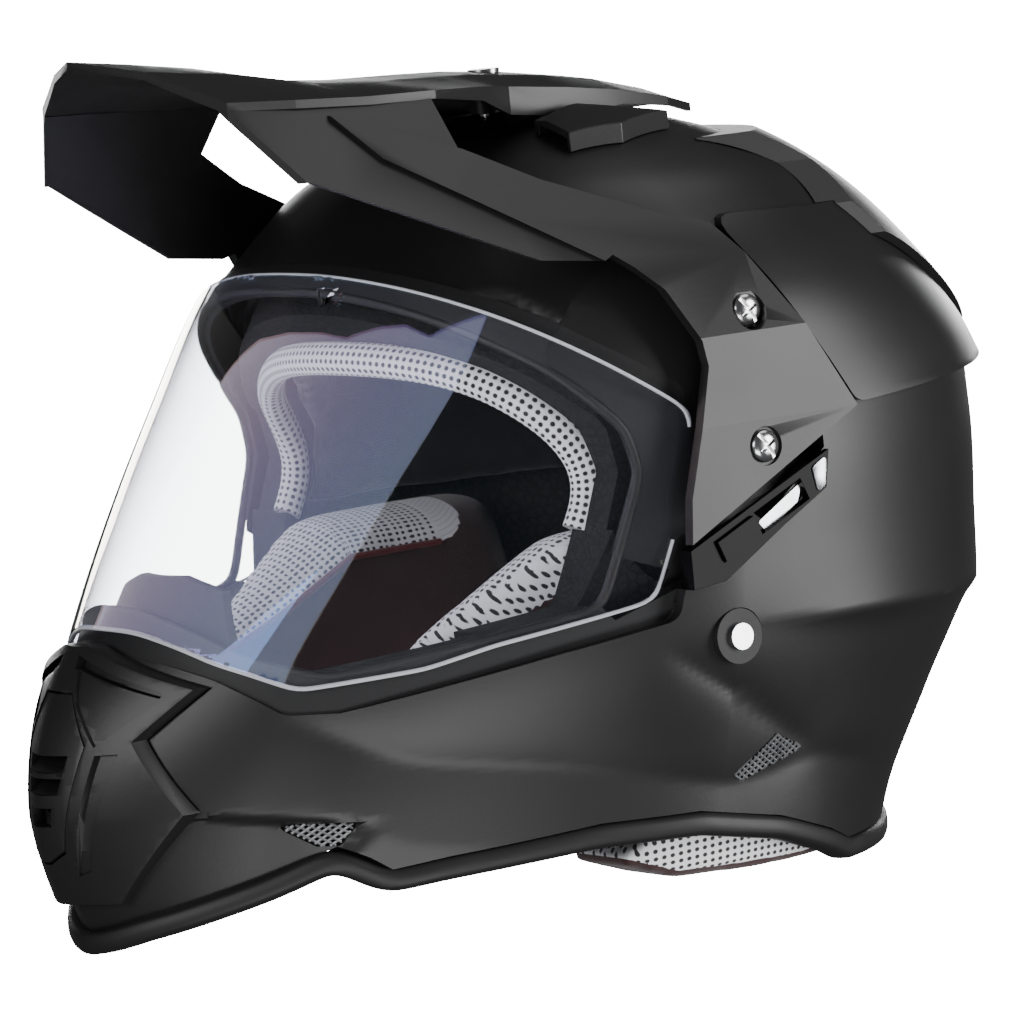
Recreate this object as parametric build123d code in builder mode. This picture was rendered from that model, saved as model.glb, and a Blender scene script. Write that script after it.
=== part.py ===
from build123d import *
import os
from math import atan2, cos, degrees, hypot, radians, sin

# Dual sport helmet, in millimetres. The helmet stands on its lower rim.
# X points to the wearer's left, Y to the back of the head and Z up, and the origin is on
# the ground under the middle of the helmet.

# Driving sizes of the whole helmet.
half_length = 172.5
half_width = 124.0
shell_height = 248.5

# Walls, clearances and the overrun of every cut.
shell_wall = 4.0
liner_wall = 30.0
chin_liner_wall = 18.0
pad_wall = 8.0
seat_gap = 0.3
soft_gap = 0.5
pin_gap = 0.05
overrun = 260.0

# The shell's form. Each row is one level of the outer surface: its height as a share of the
# shell's height, its front, widest place and back as shares of the half length, its half
# width as a share of the half width, and the powers of its front and back curves.
form_shares = [
    (-0.032, -0.904, 0.058, 0.696, 0.790, 1.60, 2.4),
    (0.080, -0.966, 0.058, 0.742, 0.855, 1.50, 2.4),
    (0.201, -0.984, 0.070, 0.846, 0.911, 1.50, 2.4),
    (0.322, -0.933, 0.087, 0.951, 0.968, 1.55, 2.4),
    (0.443, -0.823, 0.104, 0.980, 0.992, 1.65, 2.4),
    (0.563, -0.684, 0.116, 0.986, 1.000, 1.75, 2.4),
    (0.664, -0.562, 0.128, 0.968, 0.976, 1.85, 2.4),
    (0.765, -0.441, 0.139, 0.864, 0.919, 1.85, 2.3),
    (0.853, -0.325, 0.151, 0.754, 0.806, 1.85, 2.2),
    (0.926, -0.197, 0.162, 0.614, 0.645, 1.90, 2.1),
    (0.966, -0.075, 0.168, 0.493, 0.468, 1.95, 2.0),
    (0.988, 0.023, 0.174, 0.365, 0.306, 2.00, 2.0),
    (1.000, 0.128, 0.174, 0.232, 0.097, 2.00, 2.0),
]
arc_steps = 6
# How strongly a curve's end directions pull it, as a share of their usual pull.
end_pull = 0.4


def quarter(power, steps):
    """Points of a rounded quarter from its tip to its side, as shares of both half sizes."""
    angles = [radians(90 * k / steps) for k in range(steps + 1)]
    return [(sin(a) ** (2 / power), cos(a) ** (2 / power)) for a in angles]


def form(depth):
    """The solid inside the shell's surface, drawn in by a depth, or out by a negative one."""
    length, width, height = half_length - depth, half_width - depth, shell_height - depth
    with BuildPart() as body:
        for level, front, middle, back, side, front_power, back_power in form_shares:
            fore = quarter(front_power, arc_steps)
            aft = quarter(back_power, arc_steps)[-2::-1]
            outline = [(x * side * width, (middle - (middle - front) * y) * length) for x, y in fore]
            outline += [(x * side * width, (middle + (back - middle) * y) * length) for x, y in aft]
            outline[0] = (0, front * length)
            outline[-1] = (0, back * length)
            with BuildSketch(Plane.XY.offset(level * height)):
                with BuildLine():
                    Spline(*outline, tangents=[(1, 0), (-1, 0)], tangent_scalars=[end_pull] * 2)
                    mirror(about=Plane.YZ)
                make_face()
        loft()
    return body.part


def side_points(shares):
    """Side view points from shares of the half length and the shell's height."""
    return [(y * half_length, z * shell_height) for y, z in shares]


def front_points(shares):
    """Front view points from shares of the half width and the shell's height."""
    return [(x * half_width, z * shell_height) for x, z in shares]


def side_block(outline, rounding=0):
    """A block right across the helmet with this outline in the side view."""
    with BuildPart() as block:
        with BuildSketch(Plane.YZ) as face:
            with BuildLine():
                Polyline(*outline, close=True)
            make_face()
            if rounding:
                fillet(face.vertices(), rounding)
        extrude(amount=overrun, both=True)
    return block.part


def front_block(outline):
    """A block right through the helmet with this outline in the front view."""
    with BuildPart() as block:
        with BuildSketch(Plane.XZ):
            with BuildLine():
                Polyline(*outline, close=True)
            make_face()
        extrude(amount=overrun, both=True)
    return block.part


def plan_block(outline):
    """A block of endless height with this outline in the plan."""
    with BuildPart() as block:
        with BuildSketch(Plane.XY):
            with BuildLine():
                Polyline(*outline, close=True)
            make_face()
        extrude(amount=2 * overrun, both=True)
    return block.part


def slab(low, high):
    """A plain box from its low corner to its high corner."""
    size = [b - a for a, b in zip(low, high)]
    centre = [(a + b) / 2 for a, b in zip(low, high)]
    with BuildPart() as block:
        with Locations(Location(tuple(centre))):
            Box(*size)
    return block.part


def save(part, name):
    part.label = name
    export_step(part, f"parts/{name}.step")


os.makedirs("parts", exist_ok=True)

# The lower rim in the side view, from the chin to the nape, as shares of length and height.
rim_shares = [
    (-1.20, 0.000), (-0.935, 0.000), (-0.880, 0.022), (-0.710, 0.067), (-0.620, 0.096),
    (-0.575, 0.078), (-0.540, 0.060), (-0.445, 0.069), (-0.180, 0.085), (0.014, 0.081),
    (0.203, 0.054), (0.340, 0.020), (0.400, 0.000), (0.560, 0.000), (0.700, 0.016), (1.20, 0.030),
]
trim_height = 8.0
trim_proud = 2.2
trim_inset = 3.0


def above_rim(lift):
    """A block over the rim line, raised by a lift."""
    line = [(y, z + lift) for y, z in side_points(rim_shares)]
    return side_block(line + [(line[-1][0], overrun * 2), (line[0][0], overrun * 2)])


# The face opening in the side view.
eyeport_shares = [
    (-1.30, 0.435), (-0.806, 0.435), (-0.719, 0.370), (-0.615, 0.340), (-0.165, 0.390),
    (-0.075, 0.555), (-0.093, 0.612), (-0.196, 0.692), (-0.383, 0.805), (-1.30, 0.805),
]
eyeport_rounding = 5.0

# The seat of the face shield in the side view, a little larger than the shield.
seat_shares = [
    (-1.30, 0.392), (-0.870, 0.392), (-0.775, 0.350), (-0.690, 0.300), (-0.610, 0.297),
    (-0.260, 0.342), (-0.040, 0.366), (0.030, 0.560), (0.030, 0.655), (-0.115, 0.725),
    (-0.350, 0.842), (-1.30, 0.842),
]
eyeport = side_block(side_points(eyeport_shares), eyeport_rounding)
seat = side_block(side_points(seat_shares), eyeport_rounding)

# The hinge of the face shield and the sun visor, in a pocket that the shield's sides sweep
# through. Each row of the pocket's floor is a share of the half length out from the hinge
# and a share of the half width.
pivot_y = 25.5
pivot_z = 141.7
hub_radius = 4.5
pocket_wall = 3.6
pocket_floor_shares = [
    (0.128, 0.929), (0.174, 0.924), (0.220, 0.907), (0.267, 0.884), (0.313, 0.855), (0.359, 0.821),
    (0.406, 0.786),
]
pocket_floor = pocket_floor_shares[0][1] * half_width
pocket_shares = [
    (-0.20, 0.36), (0.02, 0.415), (0.16, 0.485), (0.30, 0.555), (0.30, 0.845), (-0.20, 0.845),
]
pocket_outline = side_points(pocket_shares)


def across(low, high, outline):
    """Two mirrored plates between two distances from the middle, with a side view outline."""
    with BuildPart() as plates:
        with BuildSketch(Plane.YZ.offset(low)):
            with BuildLine():
                Polyline(*outline, close=True)
            make_face()
        extrude(amount=high - low)
        mirror(about=Plane.YZ)
    return plates.part


def about_hinge(depth):
    """The room over the pocket's floor, or over a floor that lies deeper, on both sides."""
    floor = [(x * half_width - depth, far * half_length) for far, x in pocket_floor_shares]
    far_out = floor[-1][1]
    outline = [(floor[0][0], 0)] + floor + [(overrun, far_out), (overrun, 0)]
    hinge = Axis((0, pivot_y, pivot_z), (1, 0, 0))
    with BuildPart() as room:
        with BuildSketch(Plane(origin=(0, pivot_y, pivot_z), x_dir=(1, 0, 0), z_dir=(0, -1, 0))):
            with BuildLine():
                Polyline(*outline, close=True)
            make_face()
        revolve(axis=hinge)
        mirror(about=Plane.YZ)
    return room.part


def grown(outline, amount):
    """An outline pushed out from its own middle by an amount at each corner."""
    middle_y = sum(y for y, z in outline) / len(outline)
    middle_z = sum(z for y, z in outline) / len(outline)
    points = []
    for y, z in outline:
        far = hypot(y - middle_y, z - middle_z)
        points.append((y + (y - middle_y) / far * amount, z + (z - middle_z) / far * amount))
    return points


pocket_block = across(half_width / 2, overrun, pocket_outline)
backing_outline = grown(pocket_outline, shell_wall)
backing_block = across(half_width / 2, overrun, backing_outline)
backing_room = across(half_width / 2, overrun, grown(backing_outline, seat_gap))
backing_face = pocket_floor - pocket_wall
pocket_cut = about_hinge(0) & pocket_block
backing = about_hinge(pocket_wall) & backing_block
liner_backing = about_hinge(pocket_wall + seat_gap) & backing_room

# The rear upper part of the shell stands proud and ends in a ledge.
ledge_proud = 2.4
ledge_shares = [(0.385, 0.605), (0.170, 0.862), (0.480, 0.852), (1.30, 0.852), (1.30, 0.640)]
ledge = side_block(side_points(ledge_shares))

# The chin vent's outline in the front view, half of it from the top to the bottom.
chin_vent_shares = [(0.060, 0.400), (0.355, 0.345), (0.240, 0.285), (0.335, 0.190), (0.150, 0.070)]


def both_halves(half):
    """A closed outline from its right half, mirrored about the middle."""
    return half + [(-x, z) for x, z in reversed(half)]


chin_vent_outline = both_halves(front_points(chin_vent_shares))
chin_opening_shares = [(0.085, 0.300), (0.150, 0.270), (0.110, 0.115), (0.050, 0.100)]
chin_opening_outline = both_halves(front_points(chin_opening_shares))
front_side = slab((-overrun, -overrun, -overrun), (overrun, -half_width / 2, overrun))

# Small mesh vents low in the shell's sides: a pair near the chin and a pair behind.
front_mesh_shares = [(-0.715, 0.162), (-0.585, 0.158), (-0.615, 0.128), (-0.650, 0.130)]
rear_mesh_shares = [(0.085, 0.152), (0.185, 0.196), (0.258, 0.170), (0.105, 0.142)]
front_mesh_outline = side_points(front_mesh_shares)
rear_mesh_outline = side_points(rear_mesh_shares)
front_mesh_cut = side_block(front_mesh_outline)
rear_mesh_cut = side_block(rear_mesh_outline)

# Strap rivets, one on each side.
rivet_y = 13.2
rivet_z = 83.0
rivet_radius = 3.0


def side_rod(radius, low, high, y, z):
    """Two mirrored rods along X between two distances from the middle."""
    with BuildPart() as rods:
        with BuildSketch(Plane.YZ.offset(low)):
            with Locations((y, z)):
                Circle(radius)
        extrude(amount=high - low)
        mirror(about=Plane.YZ)
    return rods.part


def side_ring(outer, inner, low, high, y, z):
    """Two mirrored rings about X between two distances from the middle."""
    with BuildPart() as rings:
        with BuildSketch(Plane.YZ.offset(low)):
            with Locations((y, z)):
                Circle(outer)
                Circle(inner, mode=Mode.SUBTRACT)
        extrude(amount=high - low)
        mirror(about=Plane.YZ)
    return rings.part


# Screws of the peak.
upper_screw_y = 27.3
upper_screw_z = 184.2
screw_radius = 2.4
screw_hole = screw_radius + pin_gap

outer_form = form(0)
proud_form = form(-ledge_proud)
inner_form = form(shell_wall)
liner_form = form(shell_wall + seat_gap)
cavity_form = form(shell_wall + seat_gap + liner_wall)
chin_cavity_form = form(shell_wall + seat_gap + chin_liner_wall)
over_trim = above_rim(trim_height)
rivet_hole = side_rod(rivet_radius + pin_gap, half_width / 2, overrun, rivet_y, rivet_z)
upper_hole = side_rod(screw_hole, half_width / 2, overrun, upper_screw_y, upper_screw_z)
lower_hole = side_rod(screw_hole, half_width / 2, overrun, pivot_y, pivot_z)
hub_bore = side_rod(hub_radius + pin_gap, half_width / 2, overrun, pivot_y, pivot_z)

# Face shield. Each row is one level of its outer surface: height, front, where the front
# curve ends, half width and power.
shield_shares = [
    (0.298, -0.945, 0.116, 0.948, 1.60),
    (0.322, -0.928, 0.116, 0.952, 1.62),
    (0.4225, -0.846, 0.116, 0.971, 1.68),
    (0.563, -0.701, 0.116, 0.979, 1.80),
    (0.664, -0.586, 0.116, 0.976, 1.85),
    (0.765, -0.470, 0.116, 0.944, 1.90),
    (0.861, -0.336, 0.116, 0.871, 1.97),
]
shield_wall = 2.2
shield_gap = 1.0
frame_wall = 5.5
ear_radius = 9.4
shield_outline_shares = [
    (-0.035, 0.467), (-0.075, 0.394), (-0.162, 0.384), (-0.360, 0.362), (-0.475, 0.342),
    (-0.667, 0.330), (-0.765, 0.370), (-0.835, 0.4145), (-1.16, 0.4145), (-1.16, 0.829),
    (-0.377, 0.829), (0.023, 0.624),
]


def shield_form(depth, back):
    """The solid behind the shield's outer surface, drawn in by a depth, up to a back plane."""
    length, width, height = half_length - depth, half_width - depth, shell_height - depth
    with BuildPart() as body:
        for level, front, middle, side, power in shield_shares:
            fore = quarter(power, arc_steps)
            outline = [(x * side * width, (middle - (middle - front) * y) * length) for x, y in fore]
            outline[0] = (0, front * length)
            outline[-1] = (side * width, middle * length)
            with BuildSketch(Plane.XY.offset(level * height)):
                with BuildLine():
                    Spline(*outline, tangents=[(1, 0), (0, 1)], tangent_scalars=[end_pull] * 2)
                    Polyline(outline[-1], (side * width, back), (0, back))
                    mirror(about=Plane.YZ)
                make_face()
        loft()
    return body.part


shield_back = pivot_y + 2 * ear_radius
shield_outline = side_points(shield_outline_shares)
shield_outline += [(pivot_y, pivot_z + ear_radius), (pivot_y, pivot_z - ear_radius)]
frame_depth = shield_wall + shield_gap
frame_back = frame_depth + frame_wall
with BuildPart() as frame_room:
    add(seat)
    add(shield_form(frame_back + seat_gap, shield_back), mode=Mode.SUBTRACT)

# Washers of the strap rivets, each in its own shallow flat.
washer_radius = 8.75
washer_floor = 119.4
washer_wall = 2.0
washer_flat = side_rod(washer_radius + seat_gap, washer_floor, overrun, rivet_y, rivet_z)

# The peak's top screw.
top_screw_y = 20.0
top_screw_radius = 2.4


def stub(radius, low, high, y):
    """A rod along Z on the middle plane."""
    with BuildPart() as rod:
        with BuildSketch(Plane.XY.offset(low)):
            with Locations((0, y)):
                Circle(radius)
        extrude(amount=high - low)
    return rod.part


top_hole = stub(top_screw_radius + pin_gap, shell_height - 2 * shell_wall, overrun * 2, top_screw_y)

# Outer shell: a moulded wall with its face opening, pockets, ledge and vents.
with BuildPart() as hollow:
    add(inner_form)
    add(backing, mode=Mode.SUBTRACT)
with BuildPart() as raised_back:
    add(proud_form)
    add(ledge, mode=Mode.INTERSECT)
with BuildPart() as chin_opening:
    add(front_block(chin_opening_outline))
    add(front_side, mode=Mode.INTERSECT)
with BuildPart() as outer_shell:
    add(outer_form)
    add(raised_back.part)
    add(hollow.part, mode=Mode.SUBTRACT)
    add(pocket_cut, mode=Mode.SUBTRACT)
    add(seat, mode=Mode.SUBTRACT)
    add(over_trim, mode=Mode.INTERSECT)
    add(chin_opening.part, mode=Mode.SUBTRACT)
    add(front_mesh_cut, mode=Mode.SUBTRACT)
    add(rear_mesh_cut, mode=Mode.SUBTRACT)
    add(washer_flat, mode=Mode.SUBTRACT)
    add(rivet_hole, mode=Mode.SUBTRACT)
    add(upper_hole, mode=Mode.SUBTRACT)
    add(lower_hole, mode=Mode.SUBTRACT)
    add(top_hole, mode=Mode.SUBTRACT)
save(outer_shell.part, "outer_shell")

# Face shield, with a round ear and a bore on each side.
with BuildPart() as shield_cut:
    with BuildSketch(Plane.YZ):
        with BuildLine():
            Polyline(*shield_outline, close=True)
        make_face()
        with Locations((pivot_y, pivot_z)):
            Circle(ear_radius)
    extrude(amount=overrun, both=True)
with BuildPart() as face_shield:
    add(shield_form(0, shield_back))
    add(shield_form(shield_wall, overrun), mode=Mode.SUBTRACT)
    add(shield_cut.part, mode=Mode.INTERSECT)
    add(hub_bore, mode=Mode.SUBTRACT)
save(face_shield.part, "face_shield")

# Frame of the face opening, the dark seat behind the shield's edge.
with BuildPart() as eyeport_frame:
    add(shield_form(frame_depth, shield_back))
    add(shield_form(frame_back, overrun), mode=Mode.SUBTRACT)
    add(seat, mode=Mode.INTERSECT)
    add(eyeport, mode=Mode.SUBTRACT)
    add(pocket_cut, mode=Mode.SUBTRACT)
save(eyeport_frame.part, "eyeport_frame")

# Shield mechanism: a base plate with a hub on each side, and a washer that keeps the shield on.
plate_wall = 1.8
plate_radius = 17.0
hub_proud = 0.5
keeper_wall = 1.4
shield_outside = 0.979 * half_width
plate_top = pocket_floor + plate_wall
hub_top = shield_outside + hub_proud
for side_name, side_sign in (("left", 1), ("right", -1)):
    with BuildPart() as pivot_base:
        with BuildSketch(Plane.YZ.offset(side_sign * pocket_floor)):
            with Locations((pivot_y, pivot_z)):
                Circle(plate_radius)
                Circle(screw_hole, mode=Mode.SUBTRACT)
        extrude(amount=side_sign * plate_wall)
        with BuildSketch(Plane.YZ.offset(side_sign * plate_top)):
            with Locations((pivot_y, pivot_z)):
                Circle(hub_radius)
                Circle(screw_hole, mode=Mode.SUBTRACT)
        extrude(amount=side_sign * (hub_top - plate_top))
    save(pivot_base.part, f"pivot_base_{side_name}")

with BuildPart() as shield_washers:
    add(side_ring(1.5 * hub_radius, screw_hole, hub_top, hub_top + keeper_wall, pivot_y, pivot_z))
save(shield_washers.part, "shield_washers")


def offset_line(points, amount):
    """A line of points moved square to itself, to the right of its direction."""
    moved = []
    ways = [atan2(b[1] - a[1], b[0] - a[0]) for a, b in zip(points, points[1:])]
    for (x, z), first, last in zip(points, ways[:1] + ways, ways + ways[-1:]):
        turn = (first + last) / 2
        reach = amount / cos(turn - first)
        moved.append((x + reach * sin(turn), z - reach * cos(turn)))
    return moved


# Peak. Its top plate is a row of sections from the tip to the tail: place, height of the
# middle, half width and height of the edge, and how much of the tail's flange hangs there.
peak_wall = 2.6
tail_flange = 6.5
peak_rows_shares = [
    (-0.812, 1.132, 0.403, 1.080, 0.01), (-0.667, 1.119, 0.444, 1.066, 0.01),
    (-0.533, 1.105, 0.472, 1.060, 0.01), (-0.383, 1.079, 0.492, 1.054, 0.01),
    (-0.243, 1.070, 0.500, 1.052, 0.01), (-0.075, 1.066, 0.371, 1.046, 0.30),
    (0.017, 1.063, 0.306, 1.040, 1.00), (0.151, 1.0535, 0.306, 1.030, 1.00),
    (0.290, 1.039, 0.282, 1.017, 0.30), (0.417, 1.0165, 0.234, 1.000, 0.02),
    (0.499, 0.995, 0.177, 0.986, 0.02),
]
with BuildPart() as peak_top:
    for place, crest, edge, drop, hang in peak_rows_shares:
        edge_x, edge_z = edge * half_width, drop * shell_height
        middle_z = crest * shell_height
        low_z = edge_z - peak_wall - hang * tail_flange
        shoulder = (edge_x / 2, middle_z - (middle_z - edge_z) / 4)
        under_shoulder = (shoulder[0], shoulder[1] - peak_wall)
        half = [(0, middle_z), shoulder, (edge_x, edge_z), (edge_x, low_z), (edge_x - peak_wall, low_z)]
        half += [(edge_x - peak_wall, edge_z - peak_wall), under_shoulder, (0, middle_z - peak_wall)]
        with BuildSketch(Plane.XZ.offset(-place * half_length)):
            with BuildLine():
                Polyline(*half, *[(-x, z) for x, z in half[-2:0:-1]], close=True)
            make_face()
    loft(ruled=True)

# The peak's sides: the front view line from the crease down to the wing, and its two layers.
wing_wall = 2.4
blade_step = 1.6
crease_shares = [(-0.725, 0.435, 1.068), (-0.243, 0.500, 1.052), (0.430, 0.500, 1.052)]
wing_line_shares = [(0.931, 0.813), (1.012, 0.716), (1.028, 0.604), (1.028, 0.423)]


def wing_layer(outer, inner):
    """Both sides of the peak between two depths under the wing's outer face."""
    with BuildPart() as layer:
        for place, crease_x, crease_z in crease_shares:
            line = front_points([(crease_x, crease_z)] + wing_line_shares)
            outline = offset_line(line, outer) + offset_line(line, inner)[::-1]
            with BuildSketch(Plane.XZ.offset(-place * half_length)):
                with BuildLine():
                    Polyline(*outline, close=True)
                make_face()
        loft(ruled=True)
        mirror(about=Plane.YZ)
    return layer.part


wing_edge_shares = [
    (-0.110, 0.825), (-0.087, 0.831), (-0.009, 0.781), (0.035, 0.712), (0.042, 0.680), (-0.027, 0.5175),
    (-0.035, 0.4616), (0.365, 0.6036), (0.157, 0.853), (0.075, 0.869), (-0.139, 0.930), (-0.261, 0.978),
]
flank_shares = [(-0.249, 1.087), (-0.754, 1.087), (-0.754, 0.958), (-0.591, 0.960), (-0.232, 0.835)]
blade_shares = [(-0.481, 1.036), (-0.429, 0.978)]
peak_front_shares = [(0.0, -0.797), (0.444, -0.667), (0.655, -0.590), (1.20, -0.400), (1.20, 1.00)]
peak_front = [(x * half_width, y * half_length) for x, y in peak_front_shares]
peak_plan = plan_block(peak_front + [(-x, y) for x, y in peak_front[:0:-1]])
flank_block = side_block(side_points(flank_shares + wing_edge_shares))
blade_block = side_block(side_points(blade_shares + wing_edge_shares))

# Screw heads of the peak.
screw_head_radius = 5.25
screw_head_height = 2.3
head_gap = 1.0
head_room = screw_head_radius + head_gap
wing_outside = 1.028 * half_width
lower_recess = 1.2
lower_seat = wing_outside - lower_recess
upper_seat = 0.972 * half_width
top_seat = 1.0505 * shell_height
boss_radius = 5.5
boss_start = 0.914 * half_width

with BuildPart() as flanks:
    add(wing_layer(blade_step, blade_step + wing_wall))
    add(flank_block, mode=Mode.INTERSECT)
with BuildPart() as blades:
    add(wing_layer(0, wing_wall))
    add(blade_block, mode=Mode.INTERSECT)
with BuildPart() as peak:
    add(peak_top.part)
    add(flanks.part)
    add(blades.part)
    add(peak_plan, mode=Mode.INTERSECT)
    add(side_rod(boss_radius, boss_start, upper_seat, upper_screw_y, upper_screw_z))
    add(stub(boss_radius, shell_height + seat_gap, top_seat, top_screw_y))
    add(side_rod(head_room, upper_seat, overrun, upper_screw_y, upper_screw_z), mode=Mode.SUBTRACT)
    add(side_rod(head_room, lower_seat, overrun, pivot_y, pivot_z), mode=Mode.SUBTRACT)
    add(stub(screw_head_radius + pin_gap, top_seat, overrun * 2, top_screw_y), mode=Mode.SUBTRACT)
    add(upper_hole, mode=Mode.SUBTRACT)
    add(lower_hole, mode=Mode.SUBTRACT)
    add(top_hole, mode=Mode.SUBTRACT)
save(peak.part, "peak")


def side_screws(low, seat_x, y, z):
    """A mirrored pair of slotted screws along X with their heads on a seat."""
    slot = (screw_head_radius / 5, screw_head_height / 3)
    slot_turn = 35
    with BuildPart() as screws:
        with BuildSketch(Plane.YZ.offset(low)):
            with Locations((y, z)):
                Circle(screw_radius)
        extrude(amount=seat_x - low)
        with BuildSketch(Plane.YZ.offset(seat_x)):
            with Locations((y, z)):
                Circle(screw_head_radius)
        extrude(amount=screw_head_height)
        with BuildSketch(Plane.YZ.offset(seat_x + screw_head_height - slot[1])):
            with Locations((y, z)):
                Rectangle(2 * screw_head_radius, slot[0], rotation=slot_turn)
        extrude(amount=overrun, mode=Mode.SUBTRACT)
        mirror(about=Plane.YZ)
    return screws.part


lower_screws = side_screws(backing_face, lower_seat, pivot_y, pivot_z)
save(lower_screws, "peak_screws_lower")
upper_start = boss_start - shell_wall
upper_screws = side_screws(upper_start, upper_seat, upper_screw_y, upper_screw_z)
save(upper_screws, "peak_screws_upper")
with BuildPart() as peak_top_screw:
    add(stub(top_screw_radius, shell_height - shell_wall, top_seat, top_screw_y))
    add(stub(screw_head_radius, top_seat, top_seat + screw_head_height, top_screw_y))
save(peak_top_screw.part, "peak_top_screw")

# Base trim: a rubber edge round the lower rim.
with BuildPart() as base_trim:
    add(form(-trim_proud))
    add(above_rim(0), mode=Mode.INTERSECT)
    add(over_trim, mode=Mode.SUBTRACT)
    add(form(shell_wall + trim_inset), mode=Mode.SUBTRACT)
save(base_trim.part, "base_trim")

# Rear spoiler: a proud plate over the back of the crown.
spoiler_wall = 2.6
spoiler_shares = [
    (0.524, 0.950), (0.560, 0.905), (0.710, 0.849), (0.742, 0.805), (0.480, 0.665), (0.250, 0.645),
]
spoiler_front_shares = [
    (0.300, 1.10), (0.320, 0.950), (0.480, 0.850), (0.540, 0.60), (1.30, 0.60), (1.30, 1.10),
]
with BuildPart() as spoiler_room:
    add(form(-ledge_proud - seat_gap))
    add(side_block(grown(side_points(ledge_shares), seat_gap)), mode=Mode.INTERSECT)
with BuildPart() as rear_spoiler:
    add(form(-ledge_proud - spoiler_wall))
    add(form(-seat_gap), mode=Mode.SUBTRACT)
    add(front_block(both_halves(front_points(spoiler_shares))), mode=Mode.INTERSECT)
    add(side_block(side_points(spoiler_front_shares)), mode=Mode.INTERSECT)
    add(spoiler_room.part, mode=Mode.SUBTRACT)
save(rear_spoiler.part, "rear_spoiler")

# Crown vents: a scoop on each side of the crown, open to the front.
scoop_rise = 6.0
scoop_wall = 2.4
scoop_shares = [(0.340, 0.050), (0.500, 0.045), (0.530, 0.150), (0.450, 0.300), (0.340, 0.265)]
scoop_side_shares = [(-0.12, 0.90), (-0.070, 0.970), (0.140, 1.010), (0.32, 0.985), (0.32, 0.90)]
mouth_shares = [(0.362, -0.20), (0.475, -0.20), (0.490, 0.110), (0.362, 0.130)]
scoop_cap = side_block(side_points(scoop_side_shares))
scoop_under = form(-seat_gap)
scoop_over = form(-scoop_rise)
scoop_inside = form(-scoop_rise + scoop_wall)
for side_name, side_sign in (("left", 1), ("right", -1)):
    plan = [(side_sign * x * half_width, y * half_length) for x, y in scoop_shares]
    mouth = [(side_sign * x * half_width, y * half_length) for x, y in mouth_shares]
    with BuildPart() as scoop_mouth:
        add(scoop_inside)
        add(plan_block(mouth), mode=Mode.INTERSECT)
    with BuildPart() as crown_vent:
        add(scoop_over)
        add(scoop_under, mode=Mode.SUBTRACT)
        add(plan_block(plan), mode=Mode.INTERSECT)
        add(scoop_cap, mode=Mode.INTERSECT)
        add(scoop_mouth.part, mode=Mode.SUBTRACT)
    save(crown_vent.part, f"crown_vent_{side_name}")

# Chin vent: a raised surround, a slatted louvre and a shutter with a thumb tab behind it.
surround_proud = 5.6
louvre_proud = 4.8
slat_shares = [(0.250, 0.240), (0.215, 0.205), (0.180, 0.172)]
slat_half_share = 0.085
slot_half_share = 0.030
slot_low_share, slot_high_share = 0.125, 0.160
with BuildPart() as chin_vent_surround:
    add(form(-surround_proud))
    add(form(-seat_gap), mode=Mode.SUBTRACT)
    add(front_block(chin_vent_outline), mode=Mode.INTERSECT)
    add(front_side, mode=Mode.INTERSECT)
    add(front_block(chin_opening_outline), mode=Mode.SUBTRACT)
    add(over_trim, mode=Mode.INTERSECT)
save(chin_vent_surround.part, "chin_vent_surround")

louvre_holes = [
    both_halves(front_points([(slat_half_share, high), (slat_half_share / 2, low)]))
    for high, low in slat_shares
]
slot_half = front_points([(slot_half_share, slot_high_share), (slot_half_share, slot_low_share)])
louvre_holes.append(both_halves(slot_half))
louvre_block = front_block(grown(chin_opening_outline, -seat_gap))
with BuildPart() as chin_vent_louvre:
    add(form(-louvre_proud))
    add(louvre_block, mode=Mode.INTERSECT)
    add(front_side, mode=Mode.INTERSECT)
    add(form(shell_wall), mode=Mode.SUBTRACT)
    for hole in louvre_holes:
        add(front_block(hole), mode=Mode.SUBTRACT)
save(chin_vent_louvre.part, "chin_vent_louvre")

shutter_room = 0.6
shutter_wall = 1.6
shutter_front = -0.915 * half_length
shutter_half = 0.085 * half_width
shutter_low, shutter_high = 0.118 * shell_height, 0.215 * shell_height
tab_half = slot_half_share * half_width - soft_gap
tab_height = 4.0
tab_reach = -0.992 * half_length
tab_low = slot_low_share * shell_height + soft_gap
shutter_back = shutter_front + shutter_wall
with BuildPart() as chin_vent_shutter:
    add(slab((-shutter_half, shutter_front, shutter_low), (shutter_half, shutter_back, shutter_high)))
    add(slab((-tab_half, tab_reach, tab_low), (tab_half, shutter_front, tab_low + tab_height)))
save(chin_vent_shutter.part, "chin_vent_shutter")

# Mesh panels of the small side vents, flush in their windows.
mesh_wall = 2.0
mesh_depth = 0.8
mesh_outside = form(mesh_depth)
mesh_inside = form(mesh_depth + mesh_wall)
for mesh_name, mesh_cut in (("front", front_mesh_cut), ("rear", rear_mesh_cut)):
    with BuildPart() as both_meshes:
        add(mesh_outside)
        add(mesh_cut, mode=Mode.INTERSECT)
        add(mesh_inside, mode=Mode.SUBTRACT)
    for side_name, side_sign in (("left", 1), ("right", -1)):
        low_x, high_x = sorted((0, side_sign * overrun))
        with BuildPart() as side_mesh:
            add(both_meshes.part)
            add(slab((low_x, -overrun, -overrun), (high_x, overrun, overrun)), mode=Mode.INTERSECT)
        save(side_mesh.part, f"{mesh_name}_mesh_{side_name}")

# Sun visor: a tinted panel on two arms that turns about the same axis as the shield, in its
# own pocket between the shell and the liner. It is drawn in its raised place.
visor_reach = 99.0
visor_side = 104.0
visor_side_reach = 46.8
visor_wall = 2.0
visor_low = 37.0
visor_arc = 50.0
visor_travel = 46.0
visor_gap = 1.5
visor_spare = 4.0
arm_half = 9.0
visor_pin_radius = 3.0
visor_hub_radius = 7.0


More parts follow.
